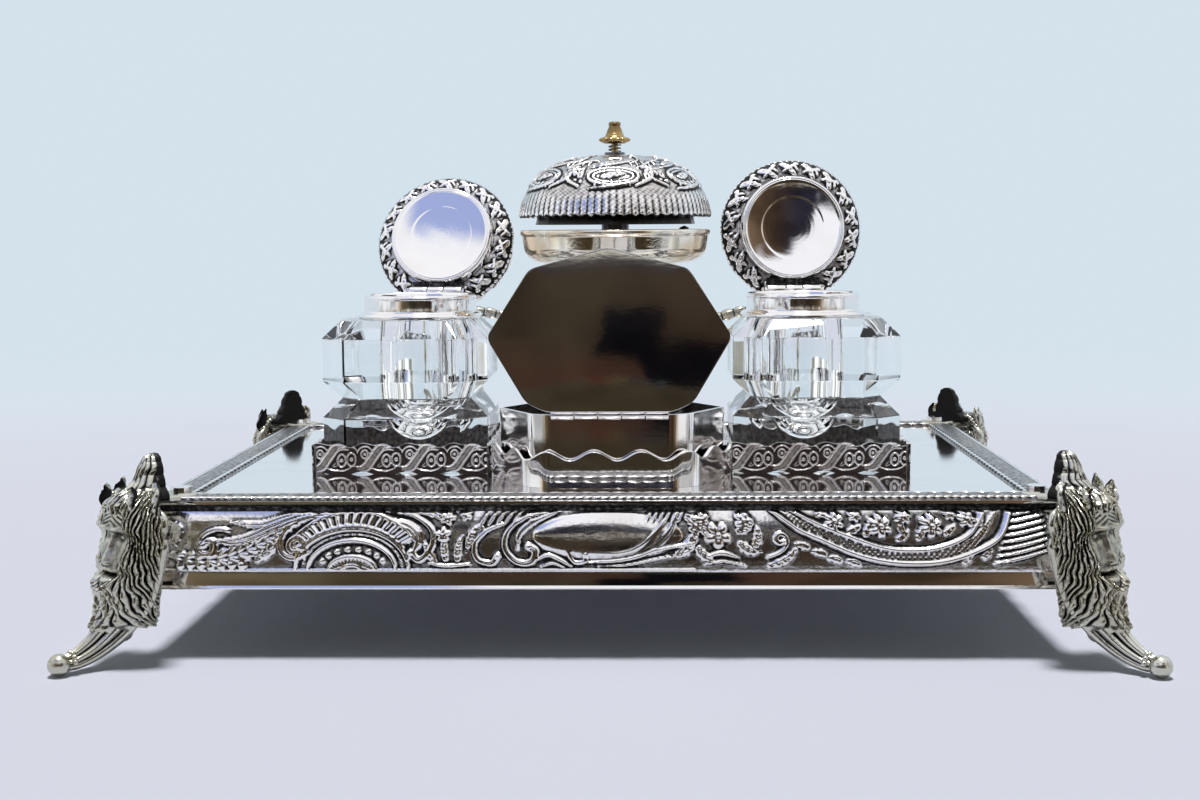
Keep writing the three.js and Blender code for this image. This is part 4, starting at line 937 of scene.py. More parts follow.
LONG_SIDE = {
    "leaf": (
        (([(-120, 5.2), (-111, 3.6), (-102, 4.6), (-95, 8.0), (-88, 12.4), (-81, 15.6)], 120), 3.1, 0.85, 15),
        (((-96, 3.2), 24, 12, (0.01, 0.03)), 1.6, 0.8, 5),
        (([(-54, 16.8), (-47.5, 16.2), (-43, 13.2)], 40), 1.3, 0.85, 5),
        (((-33.0, 12.4), 190, 7, (0.03, 0.06)), 1.2, 0.8, 3),
        (((18.6, 4.4), 26, 11, (0.01, 0.02)), 1.9, 0.85, 5),
        (((21.6, 15.6), -26, 9, (-0.01, -0.01)), 1.8, 0.9, 5),
        (((22.6, 11.6), 8, 6.4, (0.02, 0.0)), 1.2, 0.8, 3),
        (((43.4, 1.8), 4, 11, (0.012, 0.02)), 1.3, 0.85, 5)),
    "hatch": (
        (([(-121, 14), (-119, 11), (-118, 8)], 20), 2.4, 0.4),
        (([(48.0, 17.2), (54.6, 12.6), (66.3, 7.5), (75, 4.9), (83.4, 4.2), (91, 5.0), (99, 8.0),
         (107, 16.2)], 130), 1.9, 0.5, 1.5)),
    "scroll": (
        (((-103.5, 11.4), 158, 21, (0.015, 0.035, 0.07, 0.12)), 1.35, 1.0),
        (((-80, 15.4), 188, 34, (0.004, 0.03, 0.055, 0.11)), 1.45, 1.0),
        (([(-61, 16.9), (-53, 15.6), (-47.6, 11.8), (-47.4, 6.8), (-50.6, 3.6), (-53, 5.6)], 70), 1.2, 1.0),
        (([(-28.4, 13.2), (-32.6, 11.4), (-35.6, 7.8), (-34.8, 3.8), (-31.0, 2.6), (-29.2, 4.6)], 60), 1.05,
         1.0),
        (([(-15.6, 16.9), (-22.4, 14.9), (-26.8, 11.2), (-27.2, 6.4), (-24, 3.0), (-20.2, 3.0), (-19.0, 5.8),
         (-21.0, 7.2)], 90), 1.25, 1.05),
        (([(-3.4, 6.0), (-7.4, 7.4), (-9.9, 5.4), (-8.4, 2.9), (-5.6, 3.2), (-5.4, 5.0)], 50), 0.8, 1.0),
        (((43.6, 4.2), 16, 15, (0.0, 0.03, 0.1, 0.16)), 0.9, 0.95)),
    "plume": (
        (([(-107, 8.6), (-99, 9.0), (-91, 12.4), (-83, 15.4), (-73, 16.7)], 90), 2.1, 0.95, 4),
        (([(-103, 13.8), (-95, 13.2), (-88, 15.4), (-80, 16.8)], 60), 1.4, 0.85, 3),
        (([(-60, 14.6), (-53.5, 12.4), (-51.0, 8.8), (-52.8, 5.0)], 50), 1.5, 0.9, 3),
        (([(-13.4, 16.6), (-19.6, 14.0), (-23.4, 10.8), (-23.8, 7.4)], 50), 1.1, 0.9, 3),
        (([(8.6, 4.8), (13.6, 7.4), (17.4, 11.2), (19.4, 15.4)], 50), 1.6, 0.95, 3)),
    "ridge": (
        (((-79, 13.0), 192, 15, (0.01, 0.04, 0.09)), 0.5, 0.8),
        (([(-48, 2.6), (-43, 1.9), (-37, 2.4)], 30), 0.6, 0.8),
        (([(-18.6, 3.6), (-15.4, 4.8), (-12.0, 3.4), (-9.4, 1.8)], 40), 0.75, 0.95),
        (([(-17.6, 1.6), (-14.4, 2.6), (-11.4, 1.5)], 30), 0.5, 0.85),
        (([(-4.6, 5.4), (4, 5.5), (9, 7.2), (13, 10.6), (16.5, 14.6)], 70), 0.75, 1.0),
        (([(-7.4, 2.9), (2, 3.2), (8, 4.2), (13, 6.0), (19, 7.2), (24.5, 8.2)], 70), 0.7, 1.0),
        (([(-2, 1.7), (6, 2.2), (14, 3.8), (21, 5.0)], 50), 0.45, 0.8),
        (([(27.6, 4.4), (31.4, 5.4), (35.6, 4.2)], 30), 0.9, 0.95),
        (([(27.0, 2.4), (32.0, 3.2), (37.6, 2.0)], 30), 0.5, 0.85),
        (([(45.6, 17.0), (52.0, 11.9), (58.4, 8.9), (66.7, 5.2), (75, 3.0), (84, 2.4), (92, 3.2), (99.9, 5.9),
         (106.2, 9.6), (110.6, 16.4)], 150), 0.85, 1.0, 0.8),
        (([(50.2, 17.4), (56.9, 13.6), (65.9, 9.8), (75, 6.7), (82.6, 6.0), (90, 6.8), (97.9, 10.1),
         (103.4, 16.2)], 130), 0.75, 0.95, 0.8))}


LONG_SIDE_FLOWERS = (
    ((-43.6, 15.0), 2.3, 0.95, 5, 0), ((-38.6, 15.8), 1.9, 0.85, 5, 0.6), ((-44.4, 10.4), 2.2, 0.85, 5, 0.9),
    ((30.6, 10.2), 4.0, 1.0, 5, 0.3), ((37.8, 14.2), 2.8, 0.9, 5, 0), ((26.6, 14.6), 2.2, 0.85, 5, 0.7),
    ((62.4, 14.0), 3.1, 0.95, 6, 62.4), ((74.8, 12.6), 3.5, 0.95, 6, 74.8),
    ((88.6, 12.6), 3.5, 0.95, 6, 88.6), ((98.6, 14.6), 2.7, 0.95, 6, 98.6),
    ((68.4, 15.4), 2.0, 0.95, 6, 68.4), ((81.6, 15.2), 2.3, 0.95, 6, 81.6),
    ((94.4, 15.8), 1.8, 0.95, 6, 94.4))
LONG_SIDE_LEAVES = (
    (7.6, (0.01, -0.03), (1.25, 0.9, 4),
     ((-43.4, 2.8, 96), (-40.4, 2.6, 84), (-37.8, 6.4, 70), (-46, 2.2, 120))),
    (6.6, (0.01, 0.04), (1.5, 0.9, 4),
     ((36.0, 8.6, -52), (40.2, 6.6, 58), (35.4, 11.0, 12), (24.8, 7.4, -64))),
    (4.8, (0.0, 0.03), (1.2, 0.85, 3),
     ((65.6, 10.8, 20), (70.2, 9.4, 60), (78.8, 8.6, 30), (80.8, 10.4, 100), (84.4, 8.6, 56),
      (91.6, 10.2, 30), (57.6, 15.2, 24), (101.6, 12.4, 66))),
    (4.4, (0.02, 0.02), (1.1, 0.7, 3),
     ((60, 4.6, 150), (64, 2.9, 150), (69, 2.0, 150), (96, 2.4, 30), (101.4, 3.8, 30), (55.4, 6.6, 150))))


def chase_long_side(chart):
    """The long sides' ornament, from left to right: a hatched leaf and scrolls, an arched shell, flowers,
    a smooth cartouche between scrolls, a leaf cluster and a flower garland. u is from the middle."""
    chart.grain(0.03, 0.8)
    chart.draw(LONG_SIDE)
    for share in np.linspace(0, 1, 7):
        chart.boss((-116 + 17 * share, 1.9 + 0.3 * math.sin(9 * share)), 1.35, 0.85)
    chart.fan((-69, 1.0), (16.2, 11.9), (19.6, 15.8), 0.95, 46, 30, 150)
    for radii, width in (((15.4, 11.0), 0.95), ((11.9, 7.9), 0.85), ((13.7, 9.5), 0.3)):
        chart.ridge(oval((-69, 1.0), radii, 2, 178), width, 0.95)
    for angle in np.radians(np.linspace(24, 156, 8)):
        chart.boss((-69 + 9.0 * math.cos(angle), 1.0 + 5.4 * math.sin(angle)), 0.85, 0.8)
    chart.fan((-69, 0.8), (2.6, 1.2), (6.4, 3.6), 0.7, 30)
    for place, radius, height, petals, turn in LONG_SIDE_FLOWERS:
        chart.flower(place, radius, height, petals, turn)
    for length, bends, sizes, places in LONG_SIDE_LEAVES:
        for x, y, heading in places:
            chart.leaf(flourish((x, y), heading, length, bends), *sizes)
    for share in np.linspace(0, 1, 7):
        vein = flourish((-34.5 + 13.5 * share, 12.6 + 1.3 * share), 62 - 14 * share, 3.6, (0.0, 0.02))
        chart.ridge(vein, 0.5, 0.75)
    from_middle = np.hypot((chart.u - 0.6) / 20.5, (chart.v - 10.0) / 6.9)
    chart.h = np.maximum(chart.h, 0.85 * np.sqrt(np.clip(1 - from_middle ** 4, 0, None)))
    for share in np.linspace(0, 1, 6):
        chart.ridge(flourish((10.8 + 9.0 * share, 13.4 + 0.4 * share), 58, 3.8, (0.01, 0.0)), 0.5, 0.8)
    for share in np.linspace(0, 1, 8):
        vein = flourish((104.6 + 5.4 * share, 2.6 + 12.8 * share), 6, 15 - 4.4 * share, (0.004, 0.0))
        chart.ridge(vein, 0.6, 0.85)
    chart.ridge(np.column_stack((np.linspace(-121, 24, 200), np.full(200, 0.6))), 0.5, 0.6, 1.0)


def chase_short_side(chart):
    """The short sides' ornament: a shell in the middle, and a scroll, a flower and a leaf on each side."""
    chart.grain(0.03, 0.8)
    chart.fan((0, 1.2), (9.8, 6.6), (13.8, 11.2), 0.95, 46)
    chart.ridge(oval((0, 1.2), (16.2, 14.2), 10, 168), 0.6, 0.7)
    chart.boss((0, 4.4), 1.5, 0.7)
    for side in (-1, 1):
        mirror = np.array([side, 1.0])
        chart.scroll(flourish((34, 16.0), 192, 33, (0.002, 0.014, 0.05, 0.11)) * mirror, 1.3, 1.0)
        chart.scroll(flourish((40, 3.0), 20, 30, (0.008, 0.02, 0.05, 0.11)) * mirror, 1.25, 1.0)
        chart.leaf(flourish((22, 4.0), 14, 20, (0.004, 0.012)) * mirror, 2.3, 0.9, 5)
        chart.flower(np.array((41, 10.5)) * mirror, 3.8, 0.95, 6)
        chart.leaf(flourish((48, 15.5), -12, 20, (-0.004, -0.012)) * mirror, 2.3, 0.9, 5)
        chart.flower(np.array((66, 8.0)) * mirror, 3.4, 0.9, 5)
        chart.hatch(smooth_path([(58, 4), (68, 3.4), (80, 6)], 40) * mirror, 2.2, 0.7)
        for share in np.linspace(0, 1, 6):
            path = flourish((72 + 3 * share, 3.6 + 11 * share), 8, 12, (0.004, 0.0)) * mirror
            chart.ridge(path, 0.7, 0.75)


# Tray

TRAY_HALF = np.array([125.5, 88.5])
TRAY_SHEET = 1.5
TRAY_CORNER = 0.35
EDGE_HEIGHT = 1.2
COVE_HEIGHT = 1.6
COVE_INSET = 1.5
BAND_HEIGHT = 16.9
BAND_BULGE = 1.6
BAND_ROUND_SHARE = 0.7
STRIP_SETBACK = 0.8
STRIP_FLARE = 0.45
STRIP_HEIGHT = 4.0
RIM_WIRE = 0.8
BAND_TOP = TRAY_TOP - EDGE_HEIGHT - COVE_HEIGHT
BAND_BOTTOM = BAND_TOP - BAND_HEIGHT
TRAY_BOTTOM = BAND_BOTTOM - STRIP_HEIGHT - RIM_WIRE
BAND_STEP = 0.3
BAND_FADE = 0.04
WALL_STEPS = 24
FLAT_SHARES = (0.98, 0.75, 0.5, 0.25, 0.05)
COVE_OXIDE_AND_SHADE = 0.12
UNDERSIDE_PAINTED_SHADE = 0.32
BACK_WEAR = 0.5
BAND_BACKING = 0.5
ROPE_WIDTH = 9.0
ROPE_INSET = 0.5
ROPE_CROWN = 1.25
ROPE_EDGE = 0.95
ROPE_FOOT = 0.15
ARCH_FOOT = 0.35
ARCH_SHARE = 0.82
STRAND_STEPS = 7
STRAND_SLANT = 1.6
STRAND_POWER = 0.45
SIDES = (("front", 0, 0), ("right", 1, 1), ("rear", 0, 2), ("left", 1, 3))


def band_offset(share):
    """The band's distance out from the tray's edge, from the cove to its lower lip: it grows with a
    power of a quarter sine, so that the band turns from facing up to upright."""
    swell = np.sin(math.pi / 2 * np.clip(share, 0, 1)) ** BAND_ROUND_SHARE
    return -COVE_INSET + (COVE_INSET + BAND_BULGE) * swell


def tray_ring(offset, z):
    """A rectangle at a distance out from the tray's edge, with its corners rounded."""
    x, y = TRAY_HALF + offset
    corners = np.array([(-x, -y), (x, -y), (x, y), (-x, y)])
    ring = filleted(corners, TRAY_CORNER, 3, closed=True)
    return at_height(ring, z)


class INKSTAND_OT_tray(PieceOperator, bpy.types.Operator):
    """Builds the tray, its chased bands and the borders with rope edges"""

    bl_idname = "inkstand.tray"
    bl_label = "Tray"

    def build(self, settings):
        silver = polished_silver(settings)
        cove = [(-COVE_INSET * math.sin(a) ** 0.7, TRAY_TOP - EDGE_HEIGHT - COVE_HEIGHT * a / (math.pi / 2))
                for a in np.linspace(0, math.pi / 2, 7)]
        wall = [(band_offset(s) - BAND_BACKING, BAND_TOP - BAND_HEIGHT * s)
                for s in np.linspace(0, 1, WALL_STEPS)]
        strip = BAND_BULGE - STRIP_SETBACK
        inside = strip - TRAY_SHEET
        foot = [(strip - STRIP_FLARE, BAND_BOTTOM), (strip - STRIP_FLARE, BAND_BOTTOM - 0.25),
                (strip, TRAY_BOTTOM + RIM_WIRE + 0.1), (strip + RIM_WIRE * 0.75, TRAY_BOTTOM + RIM_WIRE),
                (strip + RIM_WIRE, TRAY_BOTTOM + RIM_WIRE / 2), (strip + RIM_WIRE * 0.8, TRAY_BOTTOM),
                (strip, TRAY_BOTTOM), (inside, TRAY_BOTTOM), (inside, BAND_BOTTOM)]
        ceiling = TRAY_TOP - TRAY_SHEET
        under = [(offset - TRAY_SHEET, min(z, ceiling)) for offset, z in wall[::-1]]
        top = [(-0.9, TRAY_TOP), (-0.3, TRAY_TOP), (-0.06, TRAY_TOP - 0.08), (0, TRAY_TOP - 0.35),
               (0, TRAY_TOP - EDGE_HEIGHT + 0.2), (-0.15, TRAY_TOP - EDGE_HEIGHT)]
        levels = top + cove + wall + foot + under + [(-COVE_INSET - TRAY_SHEET - 3.0, ceiling)]
        rings = np.array([tray_ring(offset, z) for offset, z in levels])
        low = -TRAY_HALF.min() + 1.0
        flat_top = np.array([tray_ring(low * share, TRAY_TOP) for share in FLAT_SHARES])
        flat_under = np.array([tray_ring(low * share, ceiling) for share in FLAT_SHARES[::-1]])
        rings = np.concatenate((flat_top, rings, flat_under))
        wear = np.ones(len(rings))
        first_cove = len(flat_top) + len(top)
        # The cove under the border's edge is darkened: oxide in its hollow, and painted shade under the edge.
        wear[first_cove - 1:first_cove + len(cove)] = COVE_OXIDE_AND_SHADE
        # The underside of the sheet and the inside of the skirt are darkened towards oxide: painted shade under
        # the tray.
        wear[first_cove + len(cove) + len(wall) + len(foot) - 1:] = UNDERSIDE_PAINTED_SHADE
        place("tray_sheet", solid(rings, wear[:, None]), silver, "polished_silver", "tray_shell", sharp=30)
        for label, axis, quarter in SIDES:
            self.band(settings, label, axis, quarter)
            self.border(settings, label, axis, quarter)

    def band(self, settings, label, axis, quarter):
        """One side's band: its face is the swelling profile plus the chasing's height, its back lies a
        little inside, and both ends are cut to the corner's mitre."""
        half = TRAY_HALF[axis]
        out = TRAY_HALF[1 - axis]
        along = np.linspace(-half, half, int(2 * half / BAND_STEP))
        up = np.linspace(0, BAND_HEIGHT, int(BAND_HEIGHT / BAND_STEP) + 1)
        chart = Chart(along, up)
        (chase_short_side if axis else chase_long_side)(chart)
        height = blurred(chart.h, 1)
        wear = np.clip(high_spots(height, 16, 1.9) + 0.06, 0, 1)
        share = 1 - chart.v / BAND_HEIGHT
        fade = np.clip(np.minimum(share, 1 - share) / BAND_FADE, 0, 1)
        offset = band_offset(share)
        face = offset + (height * fade) * settings.relief / MM
        back = offset[:, ::-2] - 2 * BAND_BACKING
        ring_offset = np.concatenate((face, back), 1)
        ring_v = np.concatenate((chart.v, chart.v[:, ::-2]), 1)
        ring_wear = np.concatenate((wear, np.full_like(back, BACK_WEAR)), 1)
        u = np.broadcast_to(along[:, None], ring_v.shape) * (half + ring_offset) / half
        shell = solid(np.stack((u, -(out + ring_offset), BAND_BOTTOM + ring_v), -1), ring_wear)
        place(f"chased_band_{label}", turned_by(shell, quarter * math.pi / 2), chased_silver(settings),
              "chased_silver", body="stand", sharp=70)

    def border(self, settings, label, axis, quarter):
        """One side's border: a low arch across, with a rope along each edge. A rope strand's height is
        the absolute sine of the way along less a slant, times the edge's own half round."""
        half = TRAY_HALF[axis] - ROPE_INSET
        out = TRAY_HALF[1 - axis] - ROPE_INSET
        pitch = settings.rope_pitch / MM
        along = np.linspace(-half, half, int(2 * half / (pitch / STRAND_STEPS)))
        first, last = 2 * ROPE_EDGE, ROPE_WIDTH - 2 * ROPE_EDGE
        across = np.concatenate((np.linspace(0, first, 8), np.linspace(first, last, 12)[1:-1],
                                 np.linspace(last, ROPE_WIDTH, 8)))
        u, v = np.meshgrid(along, across, indexing="ij")
        edge = np.minimum(v, ROPE_WIDTH - v)
        from_rope = (edge - ROPE_EDGE) / ROPE_EDGE
        rope = ROPE_EDGE * np.sqrt(np.clip(1 - from_rope ** 2, 0, None))
        slant = np.where(v < ROPE_WIDTH / 2, v, ROPE_WIDTH - v)
        strand_pitch = np.where(v < ROPE_WIDTH / 2, pitch, 2 * pitch)
        turn = math.pi * (u - STRAND_SLANT * slant) / strand_pitch
        strand = 0.5 + 0.5 * np.abs(np.sin(turn)) ** STRAND_POWER
        middle = (v - ROPE_WIDTH / 2) / (ROPE_WIDTH / 2)
        arch = np.clip(1 - (middle / ARCH_SHARE) ** 2, 0, None) ** 0.8
        arch = ARCH_FOOT + (ROPE_CROWN - ARCH_FOOT) * arch
        is_rope = edge < 2 * ROPE_EDGE
        height = np.where(is_rope, ROPE_FOOT + rope * strand, arch)
        wear = np.where(is_rope, np.clip(2.6 * strand * rope / ROPE_EDGE - 1.45, 0, 1), 0.9)
        wear = np.where(np.abs(from_rope) > 0.9, 0.35, wear)
        under = v[:, ::-3]
        points_v = np.concatenate((v, under), 1)
        points_z = np.concatenate((height, np.full_like(under, SEAT_GAP)), 1)
        ring_wear = np.concatenate((wear, np.full_like(under, BACK_WEAR)), 1)
        points_u = np.broadcast_to(along[:, None], points_v.shape) * (half - points_v) / half
        shell = solid(np.stack((points_u, -(out - points_v), TRAY_TOP + points_z), -1), ring_wear)
        place(f"rope_edged_border_{label}", turned_by(shell, quarter * math.pi / 2), chased_silver(settings),
              "chased_silver", f"rope_border_{label}", sharp=60)


# Feet, worked out with out along the diagonal, side across it and up from the table

CORNERS = {"front_left": (-1, -1), "front_right": (1, -1), "rear_right": (1, 1), "rear_left": (-1, 1)}
TOE_REACH = 28.7
TOE_RADIUS = 3.4
HEAD_AXIS = 4.0
HEAD_ROWS = 150
HEAD_COLUMNS = 222
HEAD_LEVELS = (10.2, 11.5, 14, 17, 20, 22.5, 24.5, 25.8, 27, 28.6, 31, 33, 36, 37.8, 39, 41.5, 44, 46, 48)
HEAD_FRONT = (17.6, 18.3, 17.2, 16.2, 15.8, 16.4, 15.2, 13.6, 13.9, 14.2, 13.2, 12.2, 11.6, 13.0, 13.0, 12.2,
              11.4, 10.0, 7.6)
HEAD_HALF = (4.4, 5.4, 6.4, 7.2, 8.2, 9.0, 9.6, 10.0, 10.2, 10.5, 10.9, 11.2, 11.4, 11.3, 11.1, 10.4, 9.2,
             7.6, 5.4)
CREST_LEVELS = (39.0, 42.0, 44.5, 46.6, 48.2, 50.0, 52.5, 55.0, 56.6, 57.4)
CREST_FRONT = (10.6, 11.6, 11.6, 9.6, 6.4, 4.4, 3.2, 2.2, 1.4, 0.4)
CREST_HALF = (7.6, 8.6, 8.4, 7.0, 5.8, 4.9, 4.3, 3.6, 2.6, 0.9)
CREST_BACK = -1.7
STRAND = 1.15
FACE_SWELLINGS = (
    (False, (0, 30.0), (1.5, 2.2), 1.5), (False, (0, 34.0), (0.95, 3.2), 1.5),
    (True, (1.2, 28.9), (0.75, 0.7), 0.5), (True, (0.9, 28.0), (0.4, 0.35), -0.8),
    (True, (3.2, 38.2), (2.0, 0.9), 1.3), (True, (3.2, 35.9), (1.7, 1.2), -1.7),
    (True, (3.2, 35.8), (0.9, 0.65), 1.3), (True, (5.2, 32.2), (1.5, 2.4), 0.9),
    (True, (1.9, 27.0), (1.4, 0.95), 0.9), (False, (0, 27.0), (0.3, 1.0), -0.7),
    (True, (2.0, 25.6), (2.0, 0.5), -1.5), (False, (0, 24.4), (1.9, 0.6), 0.6),
    (True, (7.2, 40.2), (1.1, 1.5), 1.6), (True, (7.2, 39.9), (0.5, 0.7), -1.4))
EAR_LEAVES = (
    ([(8.6, 5.0, 42.5), (10.0, 6.4, 45.2), (9.6, 6.8, 47.6), (10.4, 6.4, 49.4)], 2.3, (0.6, 0.8, 0)),
    ([(4.5, 8.4, 41), (5.0, 10.2, 44.5), (3.8, 9.8, 48), (4.0, 8.6, 50.4)], 2.2, (0.5, 0.85, 0)))
SIDE_LOCKS = (([(3.4, 9.6, 43), (3.2, 11.6, 41.4), (3.2, 12.3, 38.8), (3.3, 11.4, 36.6), (3.8, 10.6, 34.4)],
               (0.6, 1.1, 1.2, 1.0, 0.7)),
              ([(3.3, 12.4, 35.4), (3.3, 12.6, 33.0), (3.6, 11.2, 30.0), (3.9, 10.0, 25.5), (4.8, 8.4, 20.5),
                (6.0, 6.6, 16.2), (7.6, 5.2, 13.4), (9.4, 4.6, 13.0), (10.0, 4.5, 14.6)],
               (0.6, 1.1, 1.2, 1.25, 1.2, 1.15, 1.1, 1.0, 0.7)))
LEG_PATH = ((7.0, 0, 19.0), (10.0, 0, 13.6), (13.8, 0, 9.7), (18.4, 0, 6.3), (23.2, 0, 4.0), (26.8, 0, 3.2))
LEG_RADII = (5.0, 4.8, 4.1, 3.2, 2.4, 1.9)
CHIN_LEAF = ((8.0, 0, 14.5), (7.6, 0, 10.5), (9.0, 0, 7.8), (11.0, 0, 6.4))
BLADE_ROWS = 48
BLADE_COLUMNS = 17
BLADE_CURL = 0.25
TAB_CORNERS = ((-4.5, -5), (4.5, -5), (4.5, 5), (-4.5, 5))
TAB_STRETCH = (15 / 9, 1.0)
TAB_LEVELS = ((0.94, 0.03), (1.0, 0.3), (1.0, 1.3), (0.94, 1.58))


def lion_mask():
    """The mask as a stack of cross sections about an upright axis inside the head. Each is a rounded
    outline as deep as the face's profile and as wide as the mane: the sum of the powers of the sine
    and the cosine over the two half widths is one. Bell curves add the brow, nose, cheeks and lips
    and sink the eyes and the mouth, and the mane and the beard are upright ridges that waver."""
    up = np.linspace(HEAD_LEVELS[0], HEAD_LEVELS[-1], HEAD_ROWS)[:, None]
    turn = np.radians(np.linspace(-104, 104, HEAD_COLUMNS))[None]
    front = smooth_path(np.column_stack((HEAD_LEVELS, HEAD_FRONT)), 300)
    broad = smooth_path(np.column_stack((HEAD_LEVELS, HEAD_HALF)), 300)
    deep = np.interp(up, front[:, 0], front[:, 1]) - HEAD_AXIS
    half = np.interp(up, broad[:, 0], broad[:, 1])
    ahead = np.where(np.cos(turn) > 0, deep, 1.6)
    radius = ((np.abs(np.cos(turn)) / ahead) ** 2.3 + (np.abs(np.sin(turn)) / half) ** 2.3) ** (-1 / 2.3)
    side = radius * np.sin(turn)
    both = np.abs(side)
    relief = sum(bump_at(both if paired else side, up, centre, size, height)
                 for paired, centre, size, height in FACE_SWELLINGS)
    relief += 0.18 * np.cos(TURN * (up / 1.2 + both / 3.2)) * np.exp(-((up - 41.5) / 2.2) ** 2) * (both < 5)
    bare = np.interp(up, (20.0, 23.0, 26.0, 30.0, 36.0, 42.0, 44.0), (-2.0, 1.6, 4.4, 5.9, 6.6, 5.6, 3.4))
    mane = np.clip((both - bare) / 0.9 + 0.5, 0, 1)
    across = radius * np.abs(turn) / STRAND
    wander = 0.3 * np.sin(0.5 * up + 0.9 * across) + 0.12 * np.sin(1.3 * up - 1.1 * across)
    pattern = np.abs(np.cos(math.pi * (across + wander))) ** 0.75
    swell = 0.5 * np.cos(TURN * (up / 5.2 + 0.37 * np.round(across)))
    relief = relief * (1 - mane) + mane * (0.5 + 1.5 * (pattern - 0.45) + swell * pattern)
    radius = radius + relief
    jag = 2.4 * (1 - pattern) * np.exp(-(up - HEAD_LEVELS[0]) / 2.0)
    points = np.stack((HEAD_AXIS + radius * np.cos(turn), radius * np.sin(turn), up + jag), -1)
    bare_wear = high_spots(relief, 8, 1.7)
    wear = bare_wear * (1 - mane) + mane * np.clip(1.6 * pattern - 0.4 + 0.3 * swell, 0, 1)
    return solid(points, wear)


def crest():
    """The leaf above the mask: a lobed outline filled with a front that leans back from the brow to the
    tip, with upright veins that fan out from its foot, over a flat back that stops at the tray."""
    up = np.linspace(CREST_LEVELS[0], CREST_LEVELS[-1], 100)[:, None]
    across = np.linspace(-1, 1, 81)[None]
    lobes = 0.86 + 0.14 * np.abs(np.cos(math.pi * (up - 40) / 3.4)) ** 0.6
    half = np.interp(up, CREST_LEVELS, CREST_HALF) * lobes
    front = np.interp(up, CREST_LEVELS, CREST_FRONT)
    back = np.where(up < TRAY_TOP + 0.5, 3.0, CREST_BACK) + 0 * across
    side = half * across
    depth = np.maximum(front - back, 1.2)
    bent = across + 0.05 * np.sin(0.9 * up)
    vein = np.abs(np.cos(math.pi * 3.5 * bent)) ** 0.7
    notch = np.abs(np.cos(math.pi * ((up - 40) / 4.2 - 0.8 * np.abs(across)))) ** 0.3
    raised = (1.7 * vein - 0.8 + 0.2 * notch) * np.clip(half / 4, 0.3, 1)
    out = back + depth * np.sqrt(np.clip(1 - 0.8 * across ** 2, 0, None)) + raised * (1 - across ** 4)
    wear = np.clip(1.6 * vein * (0.35 + 0.65 * notch) - 0.5, 0, 1) + 0 * out
    face = np.stack((out, side + 0 * out, up + 0 * out), -1)
    rear = np.stack((back, side * 0.94, up + 0 * back), -1)[:, ::-4]
    points = np.concatenate((face, rear), 1)
    # The flat back is made dark: painted shade on the back of the leaf.
    worn = np.concatenate((wear, np.full(rear.shape[:2], 0.05)), 1)
    return solid(points, worn)


def blade(path, width, thick, side, lobes):
    """A thick leaf along a path in space: its half width is a sine notched at each lobe, it is domed
    across with slanted veins cut in it, and its back is flat."""
    path = smooth_path(path, BLADE_ROWS)
    share = np.linspace(0, 1, BLADE_ROWS)[:, None]
    across = np.linspace(-1, 1, BLADE_COLUMNS)[None]
    notch = 0.74 + 0.26 * np.abs(np.cos(math.pi * lobes * share))
    half = width * (0.5 + 0.5 * np.cos(math.pi * share ** 1.6)) ** 0.55 * notch
    half = np.maximum(half, 0.25)
    vein = 0.75 + 0.25 * np.cos(TURN * (lobes * share - 0.9 * np.abs(across)))
    midrib = 1 - 0.5 * np.exp(-(across / 0.14) ** 2)
    dome = thick * (0.35 + 0.65 * (1 - across ** 2) ** 0.5) * vein * midrib
    droop = BLADE_CURL * width * across ** 2
    wear = np.clip(0.15 + 0.85 * vein * midrib * (1 - 0.25 * across ** 2), 0, 1)
    front = np.stack((half * across, dome - droop + 0 * half), -1)
    rear = np.stack((half * across * 0.9, -thick * 0.6 - droop + 0 * half), -1)[:, ::-2]
    section = np.concatenate((front, rear), 1)
    worn = np.concatenate((wear, np.full(rear.shape[:2], 0.05)), 1)
    return wrapped(path, section, *across_path(path, side), worn)


def tendril(points, radii, side, flutes=0, cut=0.0, sides=20, rows=56, flat=1.0, worn=0.8):
    """A round bar along a smooth path, whose radius runs evenly through the given values. Flutes are
    worn on their edges and dark in their hollows."""
    path = smooth_path(points, rows)
    radius = np.interp(np.linspace(0, 1, rows), np.linspace(0, 1, len(radii)), radii)
    section = round_section(radius, sides, flat, flutes, cut)
    ring = np.hypot(section[..., 0], section[..., 1] / flat) / radius[:, None]
    wear = np.clip(worn + (ring - 1) * 3, 0, 1) if cut else np.full(ring.shape, worn)
    sideways, normal = across_path(path, side)
    return wrapped(path, section, normal, sideways, wear)


def ball(radius, centre, steps=32):
    """A round ball."""
    angle = np.linspace(-math.pi / 2, math.pi / 2, 17)
    profile = radius * np.column_stack((np.cos(angle), np.sin(angle)))
    return moved(revolved(pointed(profile), steps), centre)


